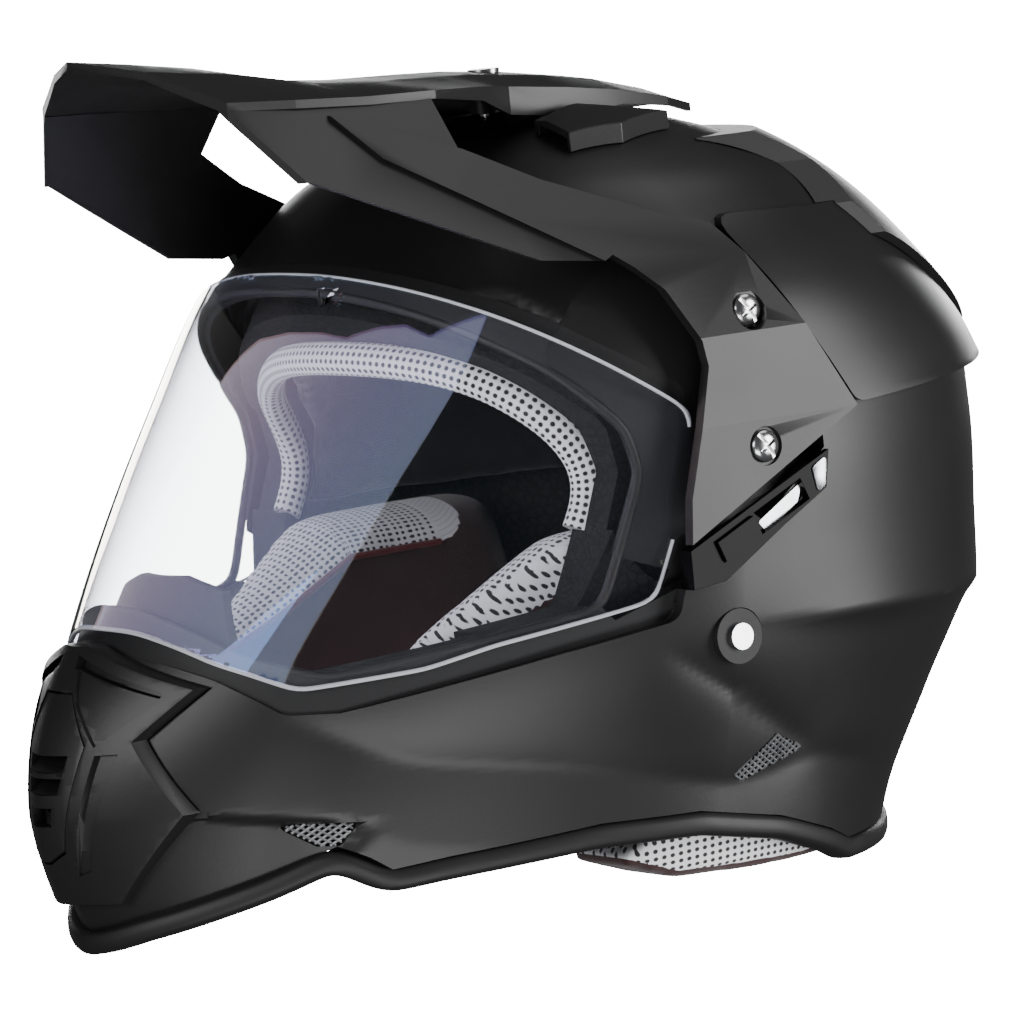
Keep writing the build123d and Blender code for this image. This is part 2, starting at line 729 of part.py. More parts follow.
def visor_band(side, outer_gap, inner_gap, low_angle, arc):
    """The panel's curved band, grown by gaps and turned through an arc from a low angle."""
    tilt = radians(low_angle)
    axis = Axis((0, pivot_y, pivot_z), (1, 0, 0))
    start = Plane(origin=(0, pivot_y, pivot_z), x_dir=(1, 0, 0), z_dir=(0, -sin(tilt), -cos(tilt)))
    outer_end, outer_reach = visor_side_reach + outer_gap, visor_reach + outer_gap
    inner_end = visor_side_reach - visor_wall - 3 * inner_gap
    inner_reach = visor_reach - visor_wall - inner_gap
    with BuildPart() as band:
        with BuildSketch(start):
            with BuildLine():
                outer = ThreePointArc((-side, outer_end), (0, outer_reach), (side, outer_end))
                inner = ThreePointArc((-side, inner_end), (0, inner_reach), (side, inner_end))
                Line(outer @ 0, inner @ 0)
                Line(outer @ 1, inner @ 1)
            make_face()
        revolve(axis=axis, revolution_arc=-arc)
    return band.part


def turned(radius, angle):
    """A side view point at a radius and an angle up from the front of the hinge axis."""
    return (pivot_y - radius * cos(radians(angle)), pivot_z + radius * sin(radians(angle)))


arm_angle = visor_low + visor_arc / 2
arm_outline = [
    turned(visor_side_reach, arm_angle - arm_half),
    turned(visor_side_reach, arm_angle + 2 * arm_half),
    turned(visor_hub_radius, arm_angle + 5 * arm_half),
    turned(visor_hub_radius, arm_angle - 5 * arm_half),
]
nose_radius = 17.0
with BuildPart() as sun_visor:
    add(visor_band(visor_side, 0, 0, visor_low, visor_arc))
    add(across(visor_side - visor_wall, visor_side, arm_outline))
    add(side_rod(visor_hub_radius, visor_side - visor_wall, visor_side, pivot_y, pivot_z))
    add(side_rod(visor_pin_radius + pin_gap, half_width / 2, overrun, pivot_y, pivot_z), mode=Mode.SUBTRACT)
    with BuildSketch(Plane((0, *turned(visor_reach, visor_low)), x_dir=(1, 0, 0), z_dir=(0, -1, 0))):
        Circle(nose_radius)
    extrude(amount=visor_reach / 2, both=True, mode=Mode.SUBTRACT)
save(sun_visor.part, "sun_visor")

pin_low, pin_high = visor_side - visor_wall - seat_gap, visor_side + seat_gap
with BuildPart() as sun_visor_pivots:
    add(side_rod(visor_pin_radius, pin_low, pin_high, pivot_y, pivot_z))
    add(side_rod(2 * visor_pin_radius, pin_high, backing_face, pivot_y, pivot_z))
save(sun_visor_pivots.part, "sun_visor_pivots")

# Impact liner of the skull, with room for the visor, its arms, the straps and the frame.
room_low = visor_low - visor_travel - visor_spare
room_arc = visor_arc + visor_travel + 2 * visor_spare
visor_room = visor_band(visor_side + visor_gap, overrun / 4, visor_gap, room_low, room_arc)
arm_room_radius = visor_side_reach + 2 * visor_gap
arm_room_low = visor_side - visor_wall - visor_gap
arm_room = side_rod(arm_room_radius, arm_room_low, overrun, pivot_y, pivot_z)
strap_width = 22.0
strap_wall = 2.0
strap_path_shares = [(0.900, 0.365), (0.835, 0.170), (0.690, 0.130), (0.445, 0.112), (0.250, 0.092)]
strap_path = front_points(strap_path_shares)


def strap_block(wall, width):
    """The left strap's run as a band of a wall and a width."""
    outline = offset_line(strap_path, -wall / 2) + offset_line(strap_path, wall / 2)[::-1]
    with BuildPart() as band:
        with BuildSketch(Plane.XZ.offset(-rivet_y - width / 2)):
            with BuildLine():
                Polyline(*outline, close=True)
            make_face()
        extrude(amount=width)
    return band.part


strap_room = strap_block(strap_wall + 2 * soft_gap, strap_width + 2 * soft_gap)
strap_room += mirror(strap_room, about=Plane.YZ)
chin_split_y = -0.335 * half_length
chin_split_z = 0.490 * shell_height
over_liner = above_rim(trim_height + seat_gap)
chin_zone = slab((-overrun, -overrun, -overrun), (overrun, chin_split_y, chin_split_z))
room_y, room_z = chin_split_y + seat_gap, chin_split_z + seat_gap
chin_zone_room = slab((-overrun, -overrun, -overrun), (overrun, room_y, room_z))
shutter_travel = 3.0
duct = slab(
    (-shutter_half - shutter_room, -overrun, shutter_low - shutter_travel - shutter_room),
    (shutter_half + shutter_room, 0, shutter_high + shutter_travel + shutter_room),
)
with BuildPart() as liner_blank:
    add(liner_form)
    add(liner_backing, mode=Mode.SUBTRACT)
    add(over_liner, mode=Mode.INTERSECT)
    add(eyeport, mode=Mode.SUBTRACT)
    add(frame_room.part, mode=Mode.SUBTRACT)
with BuildPart() as shell_liner:
    add(liner_blank.part)
    add(cavity_form, mode=Mode.SUBTRACT)
    add(chin_zone_room, mode=Mode.SUBTRACT)
    add(visor_room, mode=Mode.SUBTRACT)
    add(arm_room, mode=Mode.SUBTRACT)
    add(strap_room, mode=Mode.SUBTRACT)
    add(upper_hole, mode=Mode.SUBTRACT)
    add(rivet_hole, mode=Mode.SUBTRACT)
save(shell_liner.part, "shell_liner")

guard_depth = 12.0
guard_wall = 2.4
guard_shares = [(0.305, 0.385), (0.240, 0.450), (0.100, 0.468)]
guard_outline = both_halves(front_points(guard_shares))
with BuildPart() as breath_guard:
    add(form(guard_depth))
    add(form(guard_depth + guard_wall), mode=Mode.SUBTRACT)
    add(front_block(guard_outline), mode=Mode.INTERSECT)
    add(front_side, mode=Mode.INTERSECT)
save(breath_guard.part, "breath_guard")
with BuildPart() as guard_room:
    add(form(guard_depth - seat_gap))
    add(form(guard_depth + guard_wall + seat_gap), mode=Mode.SUBTRACT)
    add(front_block(grown(guard_outline, 2 * seat_gap)), mode=Mode.INTERSECT)
    add(front_side, mode=Mode.INTERSECT)
with BuildPart() as chin_liner:
    add(liner_blank.part)
    add(chin_cavity_form, mode=Mode.SUBTRACT)
    add(chin_zone, mode=Mode.INTERSECT)
    add(duct, mode=Mode.SUBTRACT)
    add(guard_room.part, mode=Mode.SUBTRACT)
save(chin_liner.part, "chin_liner")

# Comfort lining: a crown pad, a mesh brow band round the face, cheek pads and a neck roll.
lining_depth = shell_wall + seat_gap + liner_wall + soft_gap
crown_shares = [
    (-0.275, 0.960), (-0.275, 0.716), (-0.150, 0.656), (-0.058, 0.596), (-0.035, 0.523),
    (-0.081, 0.484), (1.000, 0.484), (1.000, 0.960),
]
band_width_share = 0.055
band_wall = 9.6
lining_cavity = form(lining_depth)
with BuildPart() as crown_pad:
    add(lining_cavity)
    add(form(lining_depth + pad_wall), mode=Mode.SUBTRACT)
    add(side_block(side_points(crown_shares)), mode=Mode.INTERSECT)
save(crown_pad.part, "crown_pad")

band_front = [(y - band_width_share, z) for y, z in crown_shares[:6]]
band_back = [(y - soft_gap / half_length, z) for y, z in crown_shares[:6]]
with BuildPart() as brow_band:
    add(lining_cavity)
    add(form(lining_depth + band_wall), mode=Mode.SUBTRACT)
    add(side_block(side_points(band_front + band_back[::-1])), mode=Mode.INTERSECT)
    add(chin_zone_room, mode=Mode.SUBTRACT)
save(brow_band.part, "brow_band")

cheek_shares = [
    (-0.500, 0.330), (-0.440, 0.370), (-0.290, 0.415), (-0.110, 0.478), (0.300, 0.478), (0.360, 0.300),
    (0.330, 0.135), (-0.100, 0.125), (-0.340, 0.130), (-0.500, 0.220),
]
cheek_middle = (-0.04 * half_length, 0.300 * shell_height)
cheek_layers_shares = [(0.740, 0.97), (0.640, 1.0), (0.520, 0.97), (0.440, 0.86), (0.405, 0.62)]
cheek_rounding = 9.0
for side_name, side_sign in (("left", 1), ("right", -1)):
    with BuildPart() as cheek_blank:
        for place, size in cheek_layers_shares:
            middle_y, middle_z = cheek_middle
            points = [
                (middle_y + (y - middle_y) * size, middle_z + (z - middle_z) * size)
                for y, z in side_points(cheek_shares)
            ]
            with BuildSketch(Plane.YZ.offset(side_sign * place * half_width)) as cheek_face:
                with BuildLine():
                    Polyline(*points, close=True)
                make_face()
                fillet(cheek_face.vertices(), cheek_rounding * size)
        loft()
    with BuildPart() as cheek_pad:
        add(cheek_blank.part)
        add(lining_cavity, mode=Mode.INTERSECT)
        add(strap_room, mode=Mode.SUBTRACT)
    save(cheek_pad.part, f"cheek_pad_{side_name}")

roll_lift = trim_height + seat_gap - soft_gap
roll_wall = 11.2
roll_low_shares = [
    (-0.125, 0.056), (0.000, 0.024), (0.290, 0.014), (0.440, 0.012), (0.750, 0.024), (1.000, 0.040),
]
roll_top = [(y, z + roll_lift) for y, z in side_points([(1.000, 0.025)] + rim_shares[-2:7:-1])]
roll_top = [point for point in roll_top if point[0] > roll_low_shares[0][0] * half_length]
with BuildPart() as neck_roll:
    add(form(shell_wall + trim_inset + 3 * soft_gap))
    add(side_block(side_points(roll_low_shares) + roll_top), mode=Mode.INTERSECT)
    add(form(lining_depth + roll_wall), mode=Mode.SUBTRACT)
save(neck_roll.part, "neck_roll")

# Chin strap: rivets with washers, two webbing runs, and a ratchet buckle with a lever.
rivet_tail = 4.0
rivet_end = strap_path[0][0] - rivet_tail
rivet_head_radius = 4.2
rivet_head_height = 1.6
rivet_bore = rivet_radius + pin_gap
washer_top = washer_floor + washer_wall
with BuildPart() as strap_rivets:
    add(side_rod(rivet_radius, rivet_end, washer_top, rivet_y, rivet_z))
    add(side_rod(rivet_head_radius, washer_top, washer_top + rivet_head_height, rivet_y, rivet_z))
save(strap_rivets.part, "strap_rivets")
with BuildPart() as rivet_washers:
    add(side_ring(washer_radius, rivet_bore, washer_floor, washer_top, rivet_y, rivet_z))
save(rivet_washers.part, "rivet_washers")
strap_run = strap_block(strap_wall, strap_width)
strap_run -= rivet_hole
save(strap_run, "strap_left")
save(mirror(strap_run, about=Plane.YZ), "strap_right")

buckle_z = strap_path[-1][1]
buckle_gap = strap_width / 2 + soft_gap
buckle_wall = 1.5
buckle_low_x, buckle_high_x = -10.0, 34.0
buckle_depth, buckle_rise = 7.4, 2.1
buckle_bottom, buckle_top = buckle_z - buckle_depth, buckle_z + buckle_rise
lever_pin_x, lever_drop = -5.0, 4.9
lever_pin_z = buckle_z - lever_drop
lever_pin_radius = 1.5
knuckle_radius = 2.6
lever_tip_x = 24.0
tongue_half, tongue_wall = 7.0, 1.8


def cross_rod(radius, low_y, high_y, x, z):
    """A rod along Y between two places."""
    with BuildPart() as rod:
        with BuildSketch(Plane.XZ.offset(-low_y)):
            with Locations((x, z)):
                Circle(radius)
        extrude(amount=low_y - high_y)
    return rod.part


near_y, far_y = rivet_y - buckle_gap, rivet_y + buckle_gap
near_out, far_out = near_y - buckle_wall, far_y + buckle_wall
lever_near, lever_far = near_y + soft_gap, far_y - soft_gap
bar_x = strap_path[-1][0] - lever_pin_radius - soft_gap
buckle_lid = buckle_top + buckle_wall
lever_low = lever_pin_z - knuckle_radius
pin_bore = cross_rod(lever_pin_radius + pin_gap, near_y - overrun, far_y + overrun, lever_pin_x, lever_pin_z)
with BuildPart() as buckle_body:
    add(slab((buckle_low_x, near_out, buckle_top), (buckle_high_x, far_out, buckle_lid)))
    add(slab((buckle_low_x, near_out, buckle_bottom), (buckle_high_x, near_y, buckle_top)))
    add(slab((buckle_low_x, far_y, buckle_bottom), (buckle_high_x, far_out, buckle_top)))
    add(cross_rod(lever_pin_radius, near_y, far_y, bar_x, buckle_z))
    add(pin_bore, mode=Mode.SUBTRACT)
save(buckle_body.part, "buckle_body")
save(cross_rod(lever_pin_radius, near_out, far_out, lever_pin_x, lever_pin_z), "buckle_pin")
with BuildPart() as buckle_lever:
    add(slab((lever_pin_x, lever_near, lever_low), (lever_tip_x, lever_far, lever_low + buckle_wall)))
    add(cross_rod(knuckle_radius, lever_near, lever_far, lever_pin_x, lever_pin_z))
    add(pin_bore, mode=Mode.SUBTRACT)
save(buckle_lever.part, "buckle_lever")
tongue_low = lever_pin_z + knuckle_radius + 3 * soft_gap
tongue_start = soft_gap - strap_path[-1][0]
tongue_near, tongue_far = rivet_y - tongue_half, rivet_y + tongue_half
tongue_high = tongue_low + tongue_wall
with BuildPart() as buckle_tongue:
    add(slab((tongue_start, tongue_near, tongue_low), (lever_tip_x / 2, tongue_far, tongue_high)))
save(buckle_tongue.part, "buckle_tongue")

# Sun visor slider on the wearer's left: a housing under the wing and a knob in its groove.
housing_shares = [
    (-0.035, 0.404), (-0.035, 0.453), (0.296, 0.553), (0.284, 0.505), (0.180, 0.466), (0.039, 0.409),
]
housing_low, housing_top = 0.945 * half_width, 1.016 * half_width
groove_depth = 1.9
knob_proud = 1.4
groove_floor = housing_top - groove_depth
slider_top = housing_top + knob_proud
slider_long, slider_wide = 16.0, 7.0
slider_travel = 22.0
rail_low, rail_high = side_points(housing_shares[1:3])
slider_angle = degrees(atan2(rail_high[1] - rail_low[1], rail_high[0] - rail_low[0]))
slider_start = (0.030 * half_length, 0.4465 * shell_height)
slider_step = (cos(radians(slider_angle)), sin(radians(slider_angle)))


def rail_block(low, high, start, length, width):
    """A block along the slider's rail, from a start point, between two distances."""
    place = (start[0] + slider_step[0] * length / 2, start[1] + slider_step[1] * length / 2)
    with BuildPart() as block:
        with BuildSketch(Plane.YZ.offset(low)):
            with Locations(Location((*place, 0), (0, 0, slider_angle))):
                Rectangle(length, width)
        extrude(amount=high - low)
    return block.part


groove_start = [place - step * seat_gap for place, step in zip(slider_start, slider_step)]
groove_long, groove_wide = slider_long + slider_travel + 2 * seat_gap, slider_wide + 2 * seat_gap
groove = rail_block(groove_floor, overrun, groove_start, groove_long, groove_wide)
with BuildPart() as slider_housing:
    with BuildSketch(Plane.YZ.offset(housing_low)):
        with BuildLine():
            Polyline(*side_points(housing_shares), close=True)
        make_face()
    extrude(amount=housing_top - housing_low)
    add(form(-seat_gap), mode=Mode.SUBTRACT)
    add(groove, mode=Mode.SUBTRACT)
save(slider_housing.part, "slider_housing")
with BuildPart() as sun_visor_slider:
    add(rail_block(groove_floor + seat_gap, slider_top, slider_start, slider_long, slider_wide))
save(sun_visor_slider.part, "sun_visor_slider")

# Lift tab on the face shield's upper edge.
tab_shares = [(0.215, 0.812), (0.275, 0.812), (0.262, 0.790)]
tab_wall = 1.8
with BuildPart() as shield_tab:
    add(shield_form(-tab_wall, shield_back))
    add(shield_form(-pin_gap, overrun), mode=Mode.SUBTRACT)
    add(front_block(front_points(tab_shares)), mode=Mode.INTERSECT)
    add(front_side, mode=Mode.INTERSECT)
save(shield_tab.part, "shield_tab")
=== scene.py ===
"""A dual sport helmet: shell, peak, clear shield, vents, lining and strap, dressed round its CAD frame."""

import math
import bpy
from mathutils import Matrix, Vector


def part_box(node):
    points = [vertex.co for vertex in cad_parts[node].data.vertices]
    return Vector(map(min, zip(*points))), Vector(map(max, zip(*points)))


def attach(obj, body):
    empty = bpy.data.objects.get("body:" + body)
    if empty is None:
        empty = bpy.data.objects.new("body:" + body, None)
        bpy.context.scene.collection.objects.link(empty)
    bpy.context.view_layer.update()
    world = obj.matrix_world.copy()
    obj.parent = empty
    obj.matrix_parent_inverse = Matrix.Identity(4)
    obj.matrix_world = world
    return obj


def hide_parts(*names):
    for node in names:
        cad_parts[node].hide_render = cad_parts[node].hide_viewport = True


bl_info = {
    "name": "Dual sport helmet",
    "version": (1, 0, 0),
    "blender": (4, 5, 0),
    "location": "View3D > Sidebar > Helmet",
    "description": "Builds a dual sport helmet with its shield, peak, vents and lining",
    "category": "Add Mesh",
}

import bmesh
import bpy
import numpy as np
from mathutils import Matrix, Vector

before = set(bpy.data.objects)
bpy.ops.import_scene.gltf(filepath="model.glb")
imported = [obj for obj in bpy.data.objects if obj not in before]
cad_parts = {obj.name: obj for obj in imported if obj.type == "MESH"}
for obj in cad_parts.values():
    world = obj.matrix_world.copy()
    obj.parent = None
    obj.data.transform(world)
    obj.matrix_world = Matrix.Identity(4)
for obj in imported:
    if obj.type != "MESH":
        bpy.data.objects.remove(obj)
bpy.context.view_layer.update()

MM = 0.001

# Driving sizes in millimetres, as the CAD has them.
HALF_LENGTH = 172.5
HALF_WIDTH = 124.0
SHELL_HEIGHT = 248.5
SHELL_WALL = 4.0
PIVOT = (25.5, 141.7)

# The shell's form: height, front, middle, back and side as shares, and the front and back powers.
FORM = np.array([
    (-0.032, -0.904, 0.058, 0.696, 0.790, 1.60, 2.4),
    (0.080, -0.966, 0.058, 0.742, 0.855, 1.50, 2.4),
    (0.201, -0.984, 0.070, 0.846, 0.911, 1.50, 2.4),
    (0.322, -0.933, 0.087, 0.951, 0.968, 1.55, 2.4),
    (0.443, -0.823, 0.104, 0.980, 0.992, 1.65, 2.4),
    (0.563, -0.684, 0.116, 0.986, 1.000, 1.75, 2.4),
    (0.664, -0.562, 0.128, 0.968, 0.976, 1.85, 2.4),
    (0.765, -0.441, 0.139, 0.864, 0.919, 1.85, 2.3),
    (0.853, -0.325, 0.151, 0.754, 0.806, 1.85, 2.2),
    (0.926, -0.197, 0.162, 0.614, 0.645, 1.90, 2.1),
    (0.966, -0.075, 0.168, 0.493, 0.468, 1.95, 2.0),
    (0.988, 0.023, 0.174, 0.365, 0.306, 2.00, 2.0),
    (1.000, 0.128, 0.174, 0.232, 0.097, 2.00, 2.0),
])
# The shield's form: height, front, where the front curve ends, side and power.
SHIELD = np.array([
    (0.298, -0.945, 0.116, 0.948, 1.60),
    (0.322, -0.928, 0.116, 0.952, 1.62),
    (0.4225, -0.846, 0.116, 0.971, 1.68),
    (0.563, -0.701, 0.116, 0.979, 1.80),
    (0.664, -0.586, 0.116, 0.976, 1.85),
    (0.765, -0.470, 0.116, 0.944, 1.90),
    (0.861, -0.336, 0.116, 0.871, 1.97),
])
# Outlines in the side view, as shares of the half length and the shell's height: the lower rim, the face
# opening, the frame's seat and the pocket of the shield's hinge.
RIM = [
    (-1.20, 0.000), (-0.935, 0.000), (-0.880, 0.022), (-0.710, 0.067), (-0.620, 0.096),
    (-0.575, 0.078), (-0.540, 0.060), (-0.445, 0.069), (-0.180, 0.085), (0.014, 0.081),
    (0.203, 0.054), (0.340, 0.020), (0.400, 0.000), (0.560, 0.000), (0.700, 0.016), (1.20, 0.030),
]
EYEPORT = [
    (-1.30, 0.435), (-0.806, 0.435), (-0.719, 0.370), (-0.615, 0.340), (-0.165, 0.390),
    (-0.075, 0.555), (-0.093, 0.612), (-0.196, 0.692), (-0.383, 0.805), (-1.30, 0.805),
]
SEAT = [
    (-1.30, 0.392), (-0.870, 0.392), (-0.775, 0.350), (-0.690, 0.300), (-0.610, 0.297),
    (-0.260, 0.342), (-0.040, 0.366), (0.030, 0.560), (0.030, 0.655), (-0.115, 0.725),
    (-0.350, 0.842), (-1.30, 0.842),
]
POCKET = [
    (-0.20, 0.36), (0.02, 0.415), (0.16, 0.485), (0.30, 0.555), (0.30, 0.660), (0.185, 0.800),
    (0.140, 0.845), (-0.20, 0.845),
]
# The pocket's floor: how far from the hinge, and the half width there, as shares.
POCKET_FLOOR = [
    (0.0, 0.929), (0.128, 0.929), (0.174, 0.924), (0.220, 0.907), (0.267, 0.884), (0.313, 0.855),
    (0.359, 0.821), (0.406, 0.786),
]
POCKET_WALL = 3.6
# The raised plate at the back, the chin vent's opening in the front view, and the side vents.
LEDGE = [(0.385, 0.605), (0.170, 0.862), (0.480, 0.852), (1.30, 0.852), (1.30, 0.640)]
LEDGE_PROUD = 2.4
CHIN_OPENING = [(0.085, 0.300), (0.150, 0.270), (0.110, 0.115), (0.050, 0.100)]
FRONT_MESH = [(-0.715, 0.162), (-0.585, 0.158), (-0.615, 0.128), (-0.650, 0.130)]
REAR_MESH = [(0.085, 0.152), (0.185, 0.196), (0.258, 0.170), (0.105, 0.142)]
# The shield's outline, down its lower edge and back along its upper edge.
SHIELD_LINE = [
    (-0.035, 0.467), (-0.075, 0.394), (-0.162, 0.384), (-0.360, 0.362), (-0.475, 0.342),
    (-0.667, 0.330), (-0.765, 0.370), (-0.835, 0.4145), (-1.16, 0.4145), (-1.16, 0.829),
    (-0.377, 0.829), (0.023, 0.624),
]
# Longer than any piece: how far cutting blocks run out.
REACH = 260.0
# Where blocks for the chin's pieces end behind it.
CHIN_BACK = -60.0
# How far above the rim line the shell and the chin's plate end, where the edging takes over.
SHELL_FOOT, PLATE_FOOT = 8.0, 8.3
# Middles that the edges of the face opening, the rim and the brow band face away from.
FACE_MIDDLE, RIM_MIDDLE, BAND_MIDDLE = (0, 20, 140), (0, 10, 0), (0, 60, 120)
# From hole to hole of the spacer mesh.
HOLE_PITCH = 2.7
# Depths under the shell's or the shield's surface, and half sizes of what is swept, in millimetres.
SHIELD_WALL = 2.2
FRAME_OUTER, FRAME_INNER = 3.2, 8.7
TRIM_DEPTH, TRIM_LIFT, TRIM_SIZE = 2.4, 4.0, (3.9, 4.5)
GASKET_DEPTH, GASKET_SIZE = 4.6, (1.7, 1.5)
EDGE_SIZE, BAND_SIZE = (0.6, 1.0), (5.6, 4.6)
PLATE_DEPTHS, LOUVRE_DEPTHS = (-5.6, -0.3), (-5.2, -0.6)
# The round of the shield's ear, the bore over its hub, and the rivet's seat in the shell's side.
EAR_RADIUS, HUB_RADIUS = 9.4, 4.55
RIVET_SEAT, RIVET_PLACE, RIVET_FLOOR = 9.05, (13.2, 83.0), 119.4
# How far the shell's folds stand out or sink in.
RIDGE_RISE, SKIRT_RISE, SKIRT_DIP, FOLD_DIP, BROW_RISE, PANEL_DIP = 3.4, 3.0, 1.6, 1.8, 1.8, 2.2


def side_view(shares):
    """Side view points from shares of the half length and the shell's height."""
    return [(y * HALF_LENGTH, z * SHELL_HEIGHT) for y, z in shares]


def front_view(shares):
    """Front view points from shares of the half width and the shell's height."""
    return [(x * HALF_WIDTH, z * SHELL_HEIGHT) for x, z in shares]


def linear(code):
    """An sRGB hex code as a linear colour."""
    parts = [int(code[i:i + 2], 16) / 255 for i in (0, 2, 4)]
    return tuple(p / 12.92 if p <= 0.04045 else ((p + 0.055) / 1.055) ** 2.4 for p in parts) + (1.0,)


# Meshes

def mesh_of(name, points, faces):
    """A mesh object from points in millimetres."""
    mesh = bpy.data.meshes.new(name)
    mesh.from_pydata([tuple(c * MM for c in p) for p in points], [], faces)
    mesh.update()
    made = bpy.data.objects.new(name, mesh)
    bpy.context.scene.collection.objects.link(made)
    return made


def tidy(piece, angle=32.0):
    """Turns a mesh's faces outwards and shades it smooth up to an angle."""
    shape = bmesh.new()
    shape.from_mesh(piece.data)
    bmesh.ops.remove_doubles(shape, verts=shape.verts, dist=1e-6)
    bmesh.ops.dissolve_degenerate(shape, edges=shape.edges, dist=1e-7)
    bmesh.ops.recalc_face_normals(shape, faces=shape.faces)
    shape.to_mesh(piece.data)
    shape.free()
    piece.data.shade_smooth()
    piece.data.set_sharp_from_angle(angle=math.radians(angle))
    return piece


def settle(piece):
    """Applies every modifier of a piece to its mesh."""
    graph = bpy.context.evaluated_depsgraph_get()
    graph.update()
    done = bpy.data.meshes.new_from_object(piece.evaluated_get(graph))
    piece.modifiers.clear()
    old = piece.data
    piece.data = done
    bpy.data.meshes.remove(old)
    return piece


def modify(piece, kind, **settings):
    """Adds a modifier, sets it and applies it."""
    made = piece.modifiers.new(kind.title(), kind)
    for key, value in settings.items():
        setattr(made, key, value)
    return settle(piece)


def carve(piece, *tools, keep=False):
    """Cuts tools out of a piece, or keeps only what lies inside them."""
    for tool in tools:
        modify(piece, "BOOLEAN", object=tool, solver="EXACT", operation="INTERSECT" if keep else "DIFFERENCE")
        bpy.data.objects.remove(tool)
    return piece


def joined(pieces):
    """One object from several."""
    with bpy.context.temp_override(active_object=pieces[0], selected_editable_objects=pieces):
        bpy.ops.object.join()
    return pieces[0]


def rounded(points, radius, steps=5):
    """A closed outline with its corners rounded by arcs as far as its runs allow."""
    made = []
    for k, here in enumerate(points):
        before, after = Vector(points[k - 1]), Vector(points[(k + 1) % len(points)])
        here = Vector(here)
        back, on = before - here, after - here
        turn = back.angle(on)
        if turn > math.radians(172) or turn < math.radians(8):
            made.append(tuple(here))
            continue
        reach = min(radius / math.tan(turn / 2), 0.45 * back.length, 0.45 * on.length)
        start, end = here + back.normalized() * reach, here + on.normalized() * reach
        for i in range(steps + 1):
            t = i / steps
            made.append(tuple(start * (1 - t) ** 2 + here * 2 * t * (1 - t) + end * t * t))
    return made


def prism(outline, axis, low, high):
    """A closed block along X, Y or Z with an outline in the other two axes."""
    count = len(outline)
    place = {"X": lambda a, b, c: (c, a, b), "Y": lambda a, b, c: (a, c, b),
             "Z": lambda a, b, c: (a, b, c)}[axis]
    points = [place(a, b, c) for c in (low, high) for a, b in outline]
    faces = [tuple(range(count)), tuple(range(2 * count - 1, count - 1, -1))]
    faces += [(i, count + i, count + (i + 1) % count, (i + 1) % count) for i in range(count)]
    return tidy(mesh_of("tool", points, faces))


def rows_at(table, keys):
    """A table of rows, read smoothly between its first column's values."""
    where = table[:, 0]
    slopes = np.gradient(table, where, axis=0)
    keys = np.clip(np.asarray(keys, float), where[0], where[-1])
    i = np.clip(np.searchsorted(where, keys, side="right") - 1, 0, len(where) - 2)
    step = (where[i + 1] - where[i])[:, None]
    t = (keys - where[i])[:, None] / step
    return ((1 + 2 * t) * (1 - t) ** 2 * table[i] + t * (1 - t) ** 2 * step * slopes[i]
            + t * t * (3 - 2 * t) * table[i + 1] + t * t * (t - 1) * step * slopes[i + 1])


def form_grid(depth, low, high, around, up):
    """Rows of points on the shell's surface drawn in by a depth, from a low to a high place."""
    length, width, height = HALF_LENGTH - depth, HALF_WIDTH - depth, SHELL_HEIGHT - depth
    levels = low / height + (min(high, height) - low) / height * np.linspace(0, 1, up)
    _, front, middle, back, side, fore, aft = rows_at(FORM, levels).T[:, :, None]
    turn = np.linspace(0, 2 * math.pi, around, endpoint=False)[None, :]
    ahead = np.cos(turn) > 0
    power = np.where(ahead, fore, aft)
    x = np.sign(np.sin(turn)) * np.abs(np.sin(turn)) ** (2 / power) * side * width
    reach = np.abs(np.cos(turn)) ** (2 / power)
    y = np.where(ahead, middle - (middle - front) * reach, middle + (back - middle) * reach) * length
    z = np.broadcast_to((levels * height)[:, None], x.shape)
    return np.stack([x, y, z], axis=-1)


def shield_grid(depth, back, low, high, across, up):
    """Rows of points on the shield's surface, from one back edge round the front to the other."""
    length, width, height = HALF_LENGTH - depth, HALF_WIDTH - depth, SHELL_HEIGHT - depth
    levels = np.linspace(low / height, high / height, up)
    _, front, middle, side, power = rows_at(SHIELD, levels).T[:, :, None]
    turn = np.linspace(-math.pi / 2, math.pi / 2, across)[None, :]
    x = np.sign(turn) * np.abs(np.sin(turn)) ** (2 / power) * side * width
    y = (middle - (middle - front) * np.cos(turn) ** (2 / power)) * length
    straight = (side * width * np.ones_like(turn))[:, :1]
    ends = np.full_like(straight, back)
    x = np.hstack([-straight, x, straight])
    y = np.hstack([ends, y, ends])
    z = np.broadcast_to((levels * height)[:, None], x.shape)
    return np.stack([x, y, z], axis=-1)


def ring_faces(rows, around, start=0, flip=False):
    """Faces of a closed band of rows of points."""
    faces = []
    for j in range(rows - 1):
        for i in range(around):
            a, b = start + j * around + i, start + j * around + (i + 1) % around
            face = (a, b, b + around, a + around)
            faces.append(face[::-1] if flip else face)
    return faces


def shell_layer(outer, inner, low, high, around=240, up=60, shape=None, name="layer"):
    """A closed wall between two depths under the shell's surface."""
    tops = high >= SHELL_HEIGHT
    out = form_grid(outer, low, SHELL_HEIGHT - outer if tops else high, around, up)
    if shape:
        out = shape(out)
    ins = form_grid(inner, low, SHELL_HEIGHT - inner if tops else high, around, up)
    points = [tuple(p) for p in out.reshape(-1, 3)] + [tuple(p) for p in ins.reshape(-1, 3)]
    size = around * up
    faces = ring_faces(up, around) + ring_faces(up, around, size, flip=True)
    faces += [(size + i, size + (i + 1) % around, (i + 1) % around, i) for i in range(around)]
    last = (up - 1) * around
    if tops:
        faces += [tuple(last + i for i in range(around)), tuple(size + last + i for i in range(around))[::-1]]
    else:
        faces += [(last + i, last + (i + 1) % around, size + last + (i + 1) % around,
                   size + last + i) for i in range(around)]
    return tidy(mesh_of(name, points, faces))


